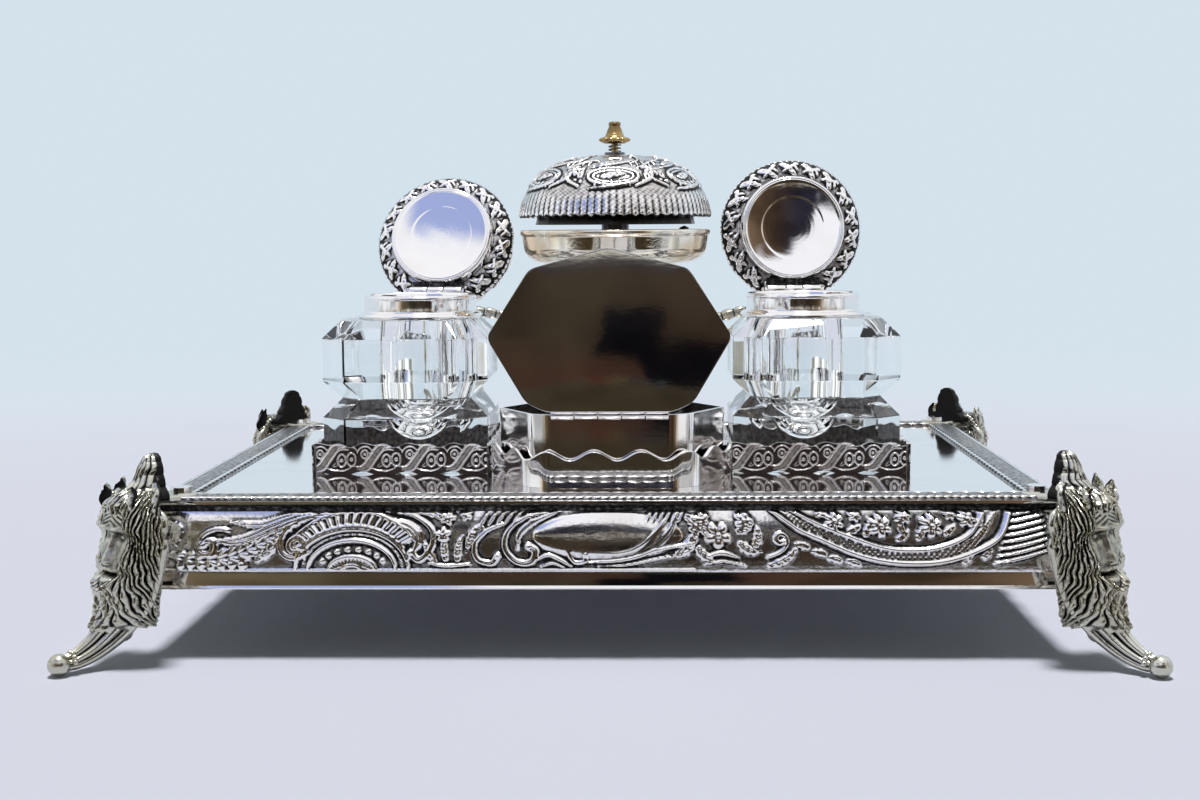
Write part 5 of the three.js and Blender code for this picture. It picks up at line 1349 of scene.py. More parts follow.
class INKSTAND_OT_feet(PieceOperator, bpy.types.Operator):
    """Builds the four lion mask feet"""

    bl_idname = "inkstand.feet"
    bl_label = "Feet"

    def build(self, settings):
        look = cast_silver(settings)
        for label, (side_x, side_y) in CORNERS.items():
            shells = self.foot()
            angle = math.atan2(side_y, side_x)
            corner = np.array([side_x * TRAY_HALF[0], side_y * TRAY_HALF[1], 0])
            shells = [moved(turned_by(shell, angle), corner) for shell in shells]
            place(f"lion_foot_{label}", shells, look, "cast_silver", f"foot_{label}", sharp=60)

    def foot(self):
        """A foot's shells: the mask, the leaf above it, two small leaves and two locks of the mane on
        each side, the fluted leg with its ball, beads and a leaf, and the tab screwed to the tray."""
        shells = [lion_mask(), crest()]
        for way in (-1, 1):
            mirror = np.array((1, way, 1))
            shells += [blade(np.array(path) * mirror, width, 1.2, mirror * side, 3)
                       for path, width, side in EAR_LEAVES]
            shells += [tendril(np.array(path) * mirror, radii, (1, 0, 0)) for path, radii in SIDE_LOCKS]
        shells.append(tendril(LEG_PATH, LEG_RADII, (0, 1, 0), 7, 0.22, 56, 64, 0.86, 0.6))
        shells.append(ball(TOE_RADIUS - 0.3, (TOE_REACH + 0.2, 0, TOE_RADIUS - 0.32)))
        shells.append(blade(CHIN_LEAF, 2.8, 1.3, (0, 1, 0), 2))
        for turn in np.linspace(0, math.pi, 6):
            shells.append(ball(0.85, (25.3, 2.3 * math.cos(turn), 3.6 + 2.2 * math.sin(turn)), 16))
        tab = filleted(TAB_CORNERS, 1.2, 4, closed=True) * TAB_STRETCH
        rings = np.array([at_height(tab * share, TRAY_TOP + up) for share, up in TAB_LEVELS])
        shells.append(moved(solid(rings), (TAB_CORNERS[0][0], 0, 0)))
        return shells


# Bottles

BOTTLE_X = 63.5
BOTTLE_Y = -12.5
GLASS_HALF = 25.7
GLASS_CHAMFER = 8.0
GLASS_EDGE = 0.5
PLINTH_HEIGHT = 22.3
BODY_HEIGHT = 24.3
GLASS_BEVEL = 5.6
NECK_RADIUS = 15.0
NECK_HEIGHT = 5.6
WELL_RADIUS = 12.0
WELL_FLOOR = 8.0
RING_STEPS = 288


def cut_square(half, chamfer):
    """A square with cut corners, as points at equal steps of angle: straight stretches between eight
    slightly rounded corners."""
    near = half - chamfer
    corners = np.array([(near, -half), (half, -near), (half, near), (near, half), (-near, half),
                        (-half, near), (-half, -near), (-near, -half)])
    edge = filleted(corners, GLASS_EDGE, 3, closed=True)
    closed = np.concatenate((edge, edge[:1]))
    angle = np.unwrap(np.arctan2(closed[:, 1], closed[:, 0]))
    wanted = angle[0] + np.arange(RING_STEPS) * TURN / RING_STEPS
    return np.column_stack([np.interp(wanted, angle, closed[:, k]) for k in (0, 1)])


def glass_bottle(neck_x):
    """The bottle as one skin: cut squares up the outside, circles up the neck, and circles down the
    inside to the rounded floor of the well."""
    half, top = GLASS_HALF, PLINTH_HEIGHT + BODY_HEIGHT
    waist = half - GLASS_BEVEL
    levels = filleted([(half - 1.2, 0), (half - 1, 0), (half, 1), (half, PLINTH_HEIGHT - GLASS_BEVEL),
                       (waist, PLINTH_HEIGHT), (half, PLINTH_HEIGHT + GLASS_BEVEL), (half, top - GLASS_BEVEL),
                       (waist, top), (waist - 0.6, top)], 0.45, 3)
    rows = [at_height(cut_square(r, GLASS_CHAMFER * r / half), z) for r, z in levels]
    angle0 = math.atan2(rows[0][0, 1], rows[0][0, 0])
    angle = angle0 + np.arange(RING_STEPS) * TURN / RING_STEPS
    circle = np.column_stack((np.cos(angle), np.sin(angle)))
    lip = top + NECK_HEIGHT
    neck = filleted([(NECK_RADIUS + 0.6, top), (NECK_RADIUS, top + 0.1), (NECK_RADIUS, lip - 0.6),
                     (NECK_RADIUS - 0.7, lip), (WELL_RADIUS + 0.7, lip), (WELL_RADIUS, lip - 0.7),
                     (WELL_RADIUS, WELL_FLOOR + WELL_RADIUS)], 0.3, 3)
    dome = np.linspace(0, math.pi / 2, 12)[1:-1]
    floor = np.column_stack((WELL_RADIUS * np.cos(dome), WELL_FLOOR + WELL_RADIUS * (1 - np.sin(dome))))
    for r, z in np.concatenate((neck, floor)):
        rows.append(at_height(circle * r + (neck_x, 0), z))
    points = np.array(rows)
    return outward(sheet(points, True, False, True, (neck_x, 0, WELL_FLOOR)))


COLLAR_RADIUS = 17.8
COLLAR_FLANGE = 19.5
COLLAR_HEIGHT = 7.3
COLLAR_PROFILE = (
    (15.3, 0), (COLLAR_FLANGE, 0), (COLLAR_FLANGE + 0.05, 0.8), (COLLAR_FLANGE - 0.3, 1.5),
    (COLLAR_RADIUS + 0.25, 1.75), (COLLAR_RADIUS, 2.3), (COLLAR_RADIUS - 0.05, 5.9),
    (COLLAR_RADIUS + 0.12, 6.3), (COLLAR_RADIUS, 6.95), (COLLAR_RADIUS - 0.5, COLLAR_HEIGHT),
    (16.0, COLLAR_HEIGHT), (15.6, 6.9), (15.3, 6.0))
HINGE_REACH = 20.6
BARREL_RADIUS = 1.6
BARREL_LENGTH = 17.5
LEAF_THICK = 1.2
PLATE_EDGE = 0.25


def knuckle(start, end, radius=BARREL_RADIUS):
    """A barrel hinge's knuckle along X, with softened ends."""
    profile = pointed(filleted([(0, start), (radius, start), (radius, end), (0, end)], 0.18, 2))
    return turned_by(revolved(profile, 24), math.pi / 2, "Y")


def slab(low, high):
    """A plate between two corners with softened edges: rounded rectangles, smaller at top and bottom."""
    soft = PLATE_EDGE
    low, high = np.asarray(low, float), np.asarray(high, float)
    centre, half = (low + high) / 2, (high - low) / 2
    corners = np.array([(-1, -1), (1, -1), (1, 1), (-1, 1)]) * half[:2]
    rows = []
    for inset, z in ((soft, -half[2]), (0, -half[2] + soft), (0, half[2] - soft), (soft, half[2])):
        ring = filleted(corners * (1 - inset / half[:2]), soft, 2, closed=True)
        rows.append(at_height(ring, z))
    return moved(solid(np.array(rows)), centre)


class INKSTAND_OT_bottles(PieceOperator, bpy.types.Operator):
    """Builds the cut glass ink bottles and their silver collars"""

    bl_idname = "inkstand.bottles"
    bl_label = "Bottles"

    def build(self, settings):
        glass = cut_glass(settings)
        silver = polished_silver(settings)
        for label, side in (("left", -1), ("right", 1)):
            pivot, turn, _ = hinge_place(f"{label}_lid_hinge")
            back = np.array([math.sin(turn), -math.cos(turn), 0]) * HINGE_REACH
            neck = pivot + back
            base = (side * BOTTLE_X, BOTTLE_Y, TRAY_TOP + SEAT_GAP)
            place(f"glass_{label}", moved(glass_bottle(neck[0] - side * BOTTLE_X), base), glass, "cut_glass",
                  f"bottle_{label}", sharp=12)
            ring = revolved(filleted(COLLAR_PROFILE, 0.25, 3, closed=True), 128)
            third = BARREL_LENGTH / 3
            ears = []
            for x in (-third, third):
                ears.append(moved(knuckle(x - third / 2, x + third / 2), (0, HINGE_REACH, COLLAR_HEIGHT)))
                ears.append(slab((x - third / 2, COLLAR_RADIUS - 1.4, COLLAR_HEIGHT - LEAF_THICK),
                                 (x + third / 2, HINGE_REACH, COLLAR_HEIGHT - 0.1)))
            seat = (neck[0], neck[1], TRAY_TOP + PLINTH_HEIGHT + BODY_HEIGHT)
            shells = [moved(turned_by(shell, turn), seat) for shell in [ring] + ears]
            place(f"silver_collar_{label}", shells, silver, "polished_silver", f"collar_{label}")


DISH_RADIUS = 17.2
DISH_DEPTH = 7.5
DISH_RECESS = 1.4
DISH_HOLLOW = 15.6
DISH_STEP_RADIUS = 10.2
DISH_STEP = 0.06
DISH_RIM = 21.3
DISH_WALL = 0.9
LID_SEAT = 0.4
LID_DOME_RADIUS = 23.0
LID_DOME_HEIGHT = 14.0
LID_LIP = 1.4
LID_STEPS = 344
LID_ROWS = 92
LID_SPRAYS = 8
LID_BEADS = 72
LID_RIM_LEAVES = 18
LID_UNDER = ((DISH_RADIUS + 0.15, -2.9), (18.8, -2.9), (20.6, -2.4), (22.2, -1.3))
BOSS_RADIUS = 2.6
BOWL_POWER = 0.78


def full_bowl(radius, height, count):
    """Radius and height from a bowl's edge to its crown: the radius is the cosine raised to a power,
    which makes the shoulder full, and the height is the sine."""
    angle = np.linspace(0, math.pi / 2, count)
    return np.column_stack((radius * np.clip(np.cos(angle), 0, 1) ** BOWL_POWER, height * np.sin(angle)))


def chased_bowl(radius, height, sheet_thick, relief, draw, steps, rows, hole=0.0, scallops=0, scallop=0.0,
                under=(), ground=0.45):
    """A bowl upside down whose outside is chased. The chasing is drawn on a chart of the angle, in
    millimetres at the edge, against the length from the edge to the crown, and is raised along the
    surface's own normal. The points of under carry the outside in below the edge, and ground is the
    wear of the level places."""
    outside = full_bowl(radius, height, 400)
    if under:
        curve = smooth_path(np.array((*under, outside[0])), 60)[:-1]
        below = np.linalg.norm(np.diff(np.concatenate((curve, outside[:1])), axis=0), axis=1).sum()
        outside = np.concatenate((curve, outside))
    else:
        below = 0.0
    profile = resampled(outside, rows + 1)
    keep = profile[:, 0] > max(hole, 0.02 * radius)
    profile = profile[keep]
    length = np.linalg.norm(np.diff(profile, axis=0), axis=1).sum()
    up = np.linspace(0, length, len(profile))
    angle = np.linspace(0, TURN, steps, endpoint=False)
    chart = Chart(angle, up - below)
    draw(chart, radius)
    raised = blurred(chart.h, 1)
    fade = np.clip((chart.v + below) / 0.8, 0, 1) * np.clip((length - below - chart.v) / 1.5, 0, 1)
    raised = raised * fade
    wear = np.clip(ground + 3.6 * (raised - blurred(raised, 9)), 0, 1)
    slope = np.gradient(profile, axis=0)
    slope /= np.linalg.norm(slope, axis=1, keepdims=True)
    normal = np.column_stack((slope[:, 1], -slope[:, 0]))
    radial = profile[None, :, 0] + raised * relief * normal[None, :, 0]
    level = profile[None, :, 1] + raised * relief * normal[None, :, 1]
    wave = scallop * np.abs(np.sin(scallops * angle / 2))[:, None] * np.exp(-chart.v / 2.5) if scallops else 0
    level = level + wave
    inner = full_bowl(radius - sheet_thick, height - sheet_thick, 24)[::-1]
    inner = inner[inner[:, 0] > max(hole, 0.02 * radius)]
    if under:
        inner = np.concatenate((inner, np.array(under)[::-1] + (0, sheet_thick)))
    inner_r = np.broadcast_to(inner[None, :, 0], (steps, len(inner)))
    inner_z = inner[None, :, 1] + (scallop * np.abs(np.sin(scallops * angle / 2))[:, None]
                                   * np.exp(-inner[None, :, 1] / 2.0) if scallops else 0 * angle[:, None])
    r = np.concatenate((radial, inner_r), 1)
    z = np.concatenate((level, inner_z), 1)
    worn = np.concatenate((wear, np.full(inner_r.shape, 0.6)), 1)
    points = np.stack((r * np.cos(angle)[:, None], r * np.sin(angle)[:, None], z), -1)
    return outward(sheet(points, True, True, wear=worn))


LID_SPRAY = {
    "leaf": (
        (((-6, 2.0), 18, 13, (0.01, 0.03)), 2.3, 0.95, 5),
        (((2.5, 14.5), 40, 11, (0.02, 0.03)), 2.0, 0.85, 4)),
    "scroll": (
        (((7.5, 13.5), 190, 20, (0.01, 0.03, 0.08)), 1.0, 0.85),),
    "ridge": (
        (((-7, 20), 10, 13, (0.0, -0.01)), 0.9, 0.8),)}


def draw_lid(chart, radius):
    """A lid's chasing: sprays of leaves round the edge, flowers and scrolls above. The chart's angle is
    stretched to millimetres first, so that round shapes stay round near the edge."""
    chart.u *= radius * 0.86
    around = TURN * radius * 0.86
    chart.h += 0.02 * np.sin(TURN * chart.u / 0.8) * np.sin(TURN * chart.v / 0.8)
    for k in range(-1, LID_SPRAYS + 1):
        u = around * (k + 0.5) / LID_SPRAYS
        chart.flower((u, 9.2), 3.4, 0.95, 6, k)
        chart.draw(LID_SPRAY, u)
    for k in range(LID_BEADS):
        chart.boss((around * (k + 0.5) / LID_BEADS, 0.2), 0.62, 0.7)
    for k in range(-1, LID_RIM_LEAVES + 1):
        u = around * (k + 0.5) / LID_RIM_LEAVES
        chart.leaf(flourish((u - 3.4, -1.6), -24, 7.2, (-0.03, 0.02)), 1.25, 0.8, 3)
        chart.boss((u + 1.6, -1.9), 0.75, 0.7)
        chart.ridge(flourish((u - 2.6, -4.9), 24, 5.2, (0.02, -0.02)), 0.6, 0.7)
        chart.ridge(flourish((u + 2.2, -4.4), 120, 2.6, (0.02, 0.02)), 0.45, 0.6)


DOME_SCALLOPS = 56
BELL_CARTOUCHES = 6
BELL_FLUTES = 84
BELL_REPEAT = {
    "leaf": (
        (((-4.2, 13.6), 10, 8.6, (0.01, -0.02)), 1.5, 0.8, 4),
        (((10.4, 12.2), 60, 6, (0.01, 0.03)), 1.3, 0.9, 3),
        (((17.2, 13.0), 110, 6, (-0.01, -0.03)), 1.3, 0.9, 3),
        (((-6.0, 20.4), 16, 10, (0.0, -0.02)), 1.4, 0.75, 4),
        (((9.0, 27.0), 30, 6, (0.01, 0.02)), 1.3, 0.6, 3)),
    "scroll": (
        (((6.6, 10.0), 35, 13, (-0.02, 0.03, 0.09)), 0.85, 0.95),
        (((17.4, 10.0), 145, 11, (0.02, -0.03, -0.1)), 0.8, 0.9),
        (((8.4, 22.0), 10, 9, (0.02, 0.07)), 0.75, 0.8)),
    "ridge": (
        (((-7.5, 9.2), 4, 15, (0.0, 0.006)), 0.55, 0.8),
        (((-3.0, 25.0), 10, 7, (0.0, -0.02)), 0.5, 0.6),
        (((-9.0, 18.6), 8, 18, (0.0, 0.004, 0.0)), 0.4, 0.75),
        (((9.0, 18.4), 12, 13, (0.02, -0.03)), 0.45, 0.75))}


def draw_bell(chart, radius):
    """The bell cover's chasing: a skirt of fine upright flutes over small scallops, a plain step, a row
    of oval cartouches with flowers between scrolls, and loose leaves towards the crown."""
    chart.u *= radius * 0.86
    around = TURN * radius * 0.86
    share = chart.u / around
    reach = 8.6 + 1.2 * np.cos(TURN * BELL_CARTOUCHES * (share - 1 / 12))
    reach += 0.5 * np.cos(TURN * DOME_SCALLOPS / 2 * share)
    skirt = np.clip(chart.v / 0.6, 0, 1) * np.clip((reach - chart.v) / 2.5, 0, 1)
    flutes = np.abs(np.cos(math.pi * BELL_FLUTES * share)) ** 0.8
    chart.h = np.maximum(chart.h, (0.16 + 0.5 * np.exp(-chart.v / 0.9)) * flutes * skirt)
    chart.h += 0.05 * np.sin(TURN * chart.u / 1.7 + chart.v) * np.sin(TURN * chart.v / 1.3 + 0.5 * chart.u)
    for k in range(-1, BELL_CARTOUCHES + 1):
        u = around * (k + 0.5) / BELL_CARTOUCHES
        chart.ridge(oval((u, 14.2), (8.2, 3.7), 0, 360), 0.5, 0.85, 1.0)
        chart.ridge(oval((u, 14.2), (6.6, 2.6), 0, 360), 0.35, 0.55, 1.0)
        chart.boss((u, 14.6), 1.1, 0.9)
        chart.flower((u + 13.6, 16.6), 2.9, 1.0, 6, k)
        for step in range(5):
            chart.ridge(flourish((u - 5.5 + 2.6 * step, 10.0), 84 + 4 * step, 2.2, (0.0, 0.02)), 0.4, 0.6)
            chart.boss((u + 9.6 + 2.0 * step, 12.0 + 0.5 * (step % 2)), 0.55, 0.75)
            chart.ridge(flourish((u + 7.2 + 2.6 * step, 20.0), 100 - 6 * step, 2.4, (0.0, 0.03)), 0.4, 0.6)
        chart.draw(BELL_REPEAT, u)


class INKSTAND_OT_lids(PieceOperator, bpy.types.Operator):
    """Builds the bottles' hinged lids where they stand open"""

    bl_idname = "inkstand.lids"
    bl_label = "Lids"

    def build(self, settings):
        silver = polished_silver(settings)
        chased = chased_silver(settings)
        for label in ("left", "right"):
            pivot, turn, opened = hinge_place(f"{label}_lid_hinge")

            def stood_open(shells, reach=HINGE_REACH):
                closed = [moved(shell, (0, -reach, 0)) for shell in shells]
                return [moved(turned_by(turned_by(shell, -opened, "X"), turn), pivot) for shell in closed]

            dish = stood_open([self.dish()]) + stood_open(self.hinge_plate(), 0)
            place(f"lid_inner_dish_{label}", dish, silver, "polished_silver", f"lid_dish_{label}")
            bowl = chased_bowl(LID_DOME_RADIUS, LID_DOME_HEIGHT, 1.0, settings.dome_relief / MM, draw_lid,
                               LID_STEPS, LID_ROWS, under=LID_UNDER)
            crown = LID_SEAT + DISH_DEPTH - DISH_WALL + LID_LIP / 2
            boss_profile = full_bowl(BOSS_RADIUS, 1.6, 14)
            boss_profile[-1, 0] = 0
            button = revolved(np.concatenate(([[0, -0.6], [BOSS_RADIUS, -0.6]], boss_profile)), 48)
            lid = [moved(bowl, (0, 0, crown)), moved(button, (0, 0, crown + LID_DOME_HEIGHT - 0.3))]
            place(f"lid_chased_dome_{label}", stood_open(lid), chased, "chased_silver", f"lid_dome_{label}",
                  sharp=70)

    def dish(self):
        """The lid's inner dish: a polished hollow with a fine step near its middle, a rolled lip and a
        straight wall under a rim."""
        low = LID_SEAT
        top = low + DISH_DEPTH
        hollow = []
        for r in (0, 1.5, 3, 4.5, 6, 7.5, 9, 10, 10.4, 11.4, 12.4, 13.4, 14.4, 15.2):
            step = DISH_STEP if r < DISH_STEP_RADIUS else 0.0
            hollow.append((r, low + DISH_RECESS * (1 - (r / DISH_HOLLOW) ** 2) + step))
        outer = hollow + [(15.5, low - 0.05), (15.8, low - 0.12), (16.05, low + 0.08), (16.3, low - 0.05),
                          (16.7, low + 0.15), (17.0, low + 0.7), (DISH_RADIUS, low + 1.4),
                          (DISH_RADIUS, top - DISH_WALL), (DISH_RIM, top - DISH_WALL), (DISH_RIM, top)]
        inner = [(DISH_RADIUS - DISH_WALL, top), (DISH_RADIUS - DISH_WALL, low + 2.4), (0, low + 2.5)]
        return revolved(pointed(filleted(outer + inner, 0.2, 3)), 160)

    def hinge_plate(self):
        """The leaf and knuckle that join the dish to its hinge, from the hinge's axis."""
        half = BARREL_LENGTH / 6 - 0.3
        width = BARREL_LENGTH / 2
        plates = [slab((-half, -3.9, BARREL_RADIUS - LEAF_THICK), (half, 0, BARREL_RADIUS)),
                  slab((-half, -BARREL_RADIUS - LEAF_THICK, LEAF_THICK / 2), (half, -BARREL_RADIUS, 3.1)),
                  slab((-width, -4.3, 1.9), (width, -BARREL_RADIUS, 3.1))]
        return [knuckle(-half, half)] + [plate._replace(wear=plate.wear * 0.1) for plate in plates]


# Galleries

GALLERY_HALF = GLASS_HALF + 0.6
GALLERY_WALL = 1.2
GALLERY_HEIGHT = 10.0
GALLERY_REPEATS = 4
GALLERY_STEPS = 280
GALLERY_ROWS = 46
GALLERY_BACK_ROWS = 8
GALLERY_INSIDE_OXIDE_AND_SHADE = 0.33


class INKSTAND_OT_galleries(PieceOperator, bpy.types.Operator):
    """Builds the low friezes in which the bottles stand"""

    bl_idname = "inkstand.galleries"
    bl_label = "Galleries"

    def build(self, settings):
        look = silver_look("oxidised_gallery", (0.8, 0.78, 0.77, 1), 0.44, 0.4, 0.2, 0.2, 0.14,
                           oxide=(0.06, 0.046, 0.044, 1), film_colour=(0.36, 0.28, 0.24, 1))
        for label, side in (("left", -1), ("right", 1)):
            centre = (side * BOTTLE_X, BOTTLE_Y, TRAY_TOP)
            sides = [moved(self.side(quarter), centre) for quarter in range(4)]
            place(f"scroll_gallery_{label}", sides, look, "cast_silver", f"gallery_{label}", sharp=60)

    def side(self, quarter):
        """One side of the frieze as a closed wall. Its top and foot follow arches along it, and its face
        is raised in slanted bands, ovals and bright arches over a dark ground."""
        half = GALLERY_HALF + GALLERY_WALL
        pitch = 2 * half / GALLERY_REPEATS
        along = np.linspace(-half, half, GALLERY_STEPS)
        chart = Chart(along, np.linspace(0, 1, GALLERY_ROWS))
        phase = TURN * chart.u / pitch
        top = GALLERY_HEIGHT - 1.5 + 0.9 * np.abs(np.sin(phase / 2 + 0.6)) + 0.35 * np.sin(2 * phase)
        foot = SEAT_GAP + 0.75 * np.clip(np.sin(phase + 0.9), 0, 1)
        foot[(chart.u < -half + 1) | (chart.u > half - 1)] = SEAT_GAP
        chart.v = foot + chart.v * (top - foot)
        for k in range(-1, GALLERY_REPEATS + 1):
            u = -half + pitch * (k + 0.5)
            band = smooth_path([(u - 6.6, 1.6), (u - 4.2, 2.2), (u - 1.8, 5.4), (u + 0.6, 8.2),
                                (u + 3.4, 8.3)], 40)
            chart.ridge(band, 1.5, 0.55, 0.5)
            chart.ridge(band + (-0.9, 0.8), 0.42, 1.0, 0.6)
            chart.ridge(band + (0.9, -0.8), 0.42, 0.9, 0.6)
            for centre, radii in (((u + 2.2, 4.3), (1.25, 1.9)), ((u + 5.2, 4.6), (1.35, 2.0)),
                                  ((u - 4.4, 6.2), (1.1, 1.3))):
                chart.ridge(oval(centre, radii, 0, 360, 40), 0.42, 1.0, 1.0)
                chart.boss(centre, radii[0] * 0.62, 0.85)
            chart.ridge(oval((u + 4.0, 5.6), (3.4, 3.3), 25, 155, 30), 0.42, 1.0)
            chart.ridge(oval((u - 4.3, 5.6), (2.6, 3.0), 20, 160, 30), 0.42, 0.95)
            chart.ridge(oval((u + 1.2, 3.4), (4.4, 2.3), 205, 335, 30), 0.4, 0.95)
            chart.leaf(flourish((u - 1.0, 2.2), 20, 4.6, (0.03, 0.05)), 0.8, 0.8, 2)
        edge = np.clip((top - chart.v) / 0.55, 0, 1)
        chart.h = np.maximum(chart.h, 0.9 * (1 - edge))
        wear = np.clip(1.6 * chart.h - 0.45, 0, 1)
        out = GALLERY_HALF + 0.35 + 0.85 * blurred(chart.h, 1)
        front = np.stack((chart.u, -out, chart.v), -1)
        down = np.linspace(0, 1, GALLERY_BACK_ROWS)[None]
        level = top[:, -1:] + (foot[:, :1] - top[:, -1:]) * down
        back = np.stack((along[:, None] + 0 * level, 0 * level - GALLERY_HALF + 0.1, level), -1)
        points = np.concatenate((front, back), 1) @ turn_matrix(quarter * math.pi / 2, "Z").T
        # The inner face against the glass is darkened: oxide, and painted shade between the gallery and the glass.
        return solid(points, np.concatenate((wear, np.full(level.shape, GALLERY_INSIDE_OXIDE_AND_SHADE)), 1))


# Box

BOX_CORNERS = ((-18.3, 0), (18.3, 0), (24, 2.7), (35, 21.5), (22.5, 41), (0, 47), (-22.5, 41), (-35, 21.5),
               (-24, 2.7))
BOX_HEIGHT = 21.0
BOX_OVERHANG = 0.7
BOX_TAPER = 0.6
BOX_LID_DOME = 0.8
BOX_BARREL = 1.3
BOX_AXIS_OUT = 1.6
BOX_BARREL_LENGTH = 34.0
BOX_GALLERY_OUT = 1.2
BOX_GALLERY_HEIGHT = 9.4
BOX_WAVE = 1.3
BOX_WAVE_LENGTH = 13.0
BOX_CORNER = 1.6
BOX_LID_CORNER = 2.2
BOX_GALLERY_CORNER = 2.0
BOX_GALLERY_WALL = 0.9
BOX_SHEET = 1.2
BOX_FLOOR = 1.6
BOX_LID_MIDDLE = 23.5
BOX_LID_SHARES = (1.0, 1.0, 0.9985, 0.994, 0.985, 0.96, 0.93, 0.85, 0.7, 0.5, 0.3, 0.1, 0.03)
BOX_KNUCKLES = 5
BOX_STEPS = 480
BOX_GALLERY_STEPS = 640
KNUCKLE_GAP = 0.12


def box_outline(shrink, radius, count):
    """The box's outline moved in by a distance, with rounded corners, as equally spaced points."""
    p = np.array(BOX_CORNERS, float)
    ahead = np.roll(p, -1, 0) - p
    ahead /= np.linalg.norm(ahead, axis=1, keepdims=True)
    back = np.roll(ahead, 1, 0)
    mitre = np.column_stack((-ahead[:, 1] - back[:, 1], ahead[:, 0] + back[:, 0]))
    inset = p + mitre * 2 * shrink / (mitre ** 2).sum(1, keepdims=True)
    ring = filleted(inset, radius, 6, closed=True)
    return resampled(np.concatenate((ring, ring[:1])), count + 1)[:-1]


class INKSTAND_OT_box(PieceOperator, bpy.types.Operator):
    """Builds the box, its lid where it stands open and its wavy gallery"""

    bl_idname = "inkstand.box"
    bl_label = "Box"

    def build(self, settings):
        silver = polished_silver(settings)
        pivot, _, opened = hinge_place("box_lid_hinge")
        front = pivot[1] - BOX_OVERHANG + BOX_AXIS_OUT
        base = np.array([pivot[0], front, TRAY_TOP])
        outer = box_outline(BOX_OVERHANG, BOX_CORNER, BOX_STEPS)
        foot = box_outline(BOX_OVERHANG + BOX_TAPER, BOX_CORNER, BOX_STEPS)
        inner = box_outline(BOX_OVERHANG + BOX_SHEET, BOX_SHEET, BOX_STEPS)
        levels = [(foot * 0.997, SEAT_GAP), (foot, 0.3), (outer, BOX_HEIGHT - 0.25),
                  (outer * 0.998, BOX_HEIGHT), (inner, BOX_HEIGHT), (inner, BOX_FLOOR),
                  (inner * 0.98 + (0, 0.4), BOX_FLOOR - 0.2)]
        rings = np.array([at_height(ring, z) for ring, z in levels])
        shells = [moved(solid(rings), base)]
        length = BOX_BARREL_LENGTH / BOX_KNUCKLES
        lid_joints, lid_leaves = [], []
        for k in range(BOX_KNUCKLES):
            start = -BOX_BARREL_LENGTH / 2 + length * k + KNUCKLE_GAP
            end = start + length - 2 * KNUCKLE_GAP
            joint = knuckle(start, end, BOX_BARREL)
            if k % 2:
                lid_joints.append(joint)
                lid_leaves.append(slab((start, 0.2, 0.1), (end, 3.0, 0.9)))
            else:
                leaf = slab((start, 0, -BOX_BARREL - 0.25), (end, 1.9, -0.3))
                shells += [moved(joint, pivot), moved(leaf, pivot)]
        place("box_walls", shells, silver, "polished_silver", "box_body")

        outline = box_outline(0, BOX_LID_CORNER, BOX_STEPS) + (0, BOX_AXIS_OUT - BOX_OVERHANG)
        middle = np.array([0, BOX_LID_MIDDLE + BOX_AXIS_OUT - BOX_OVERHANG])
        over = np.array(BOX_LID_SHARES)
        rise = BOX_LID_DOME * (0.55 + 0.45 * (1 - over ** 2))
        rise = rise + np.array([-0.2, 0.88, 1.03] + [1.05] * (len(over) - 3))
        under = over[4:][::-1]
        sunk = BOX_LID_DOME * (0.55 + 0.45 * (1 - under ** 2)) + 0.1
        pairs = list(zip(under, sunk)) + [(0.99, 0.0)] + list(zip(over, rise))
        rings = np.array([at_height(middle + (outline - middle) * s, z) for s, z in pairs])
        lid = [solid(rings), *lid_joints, *lid_leaves]
        lid_shells = [moved(turned_by(shell, opened, "X"), pivot) for shell in lid]
        place("box_domed_lid", lid_shells, silver, "polished_silver", "box_lid")
        self.gallery(silver, base)

    def gallery(self, look, base):
        """The wavy gallery: a thin wall along the outline whose top is a cosine of the way along it."""
        inset = BOX_OVERHANG - BOX_GALLERY_OUT
        inside, outside, foot = (box_outline(inset - out, BOX_GALLERY_CORNER, BOX_GALLERY_STEPS)
                                 for out in (0, BOX_GALLERY_WALL, BOX_GALLERY_WALL - 0.3))
        length = np.linalg.norm(np.diff(np.concatenate((inside, inside[:1])), axis=0), axis=1)
        along = np.concatenate(([0], np.cumsum(length)[:-1]))
        waves = round(length.sum() / BOX_WAVE_LENGTH)
        start = np.argmin(np.hypot(inside[:, 0] + 18.3, inside[:, 1]))
        phase = TURN * waves * (along - along[start]) / length.sum()
        top = BOX_GALLERY_HEIGHT + BOX_WAVE * np.cos(phase)
        middle = (inside + outside) / 2
        rim = [(outside, 0.5), (outside, 0.2), (outside * 0.7 + middle * 0.3, 0.05), (middle, 0),
               (inside * 0.7 + middle * 0.3, 0.05), (inside, 0.2), (inside, 0.5)]
        rows = [np.column_stack((ring, top - below)) for ring, below in rim]
        rows = [at_height(foot, 0.03), *rows, at_height(inside, 0.03)]
        wall = outward(sheet(np.array(rows), True, True))
        place("box_wavy_gallery", moved(wall, base), look, "polished_silver", "box_gallery", sharp=50)


# Bell

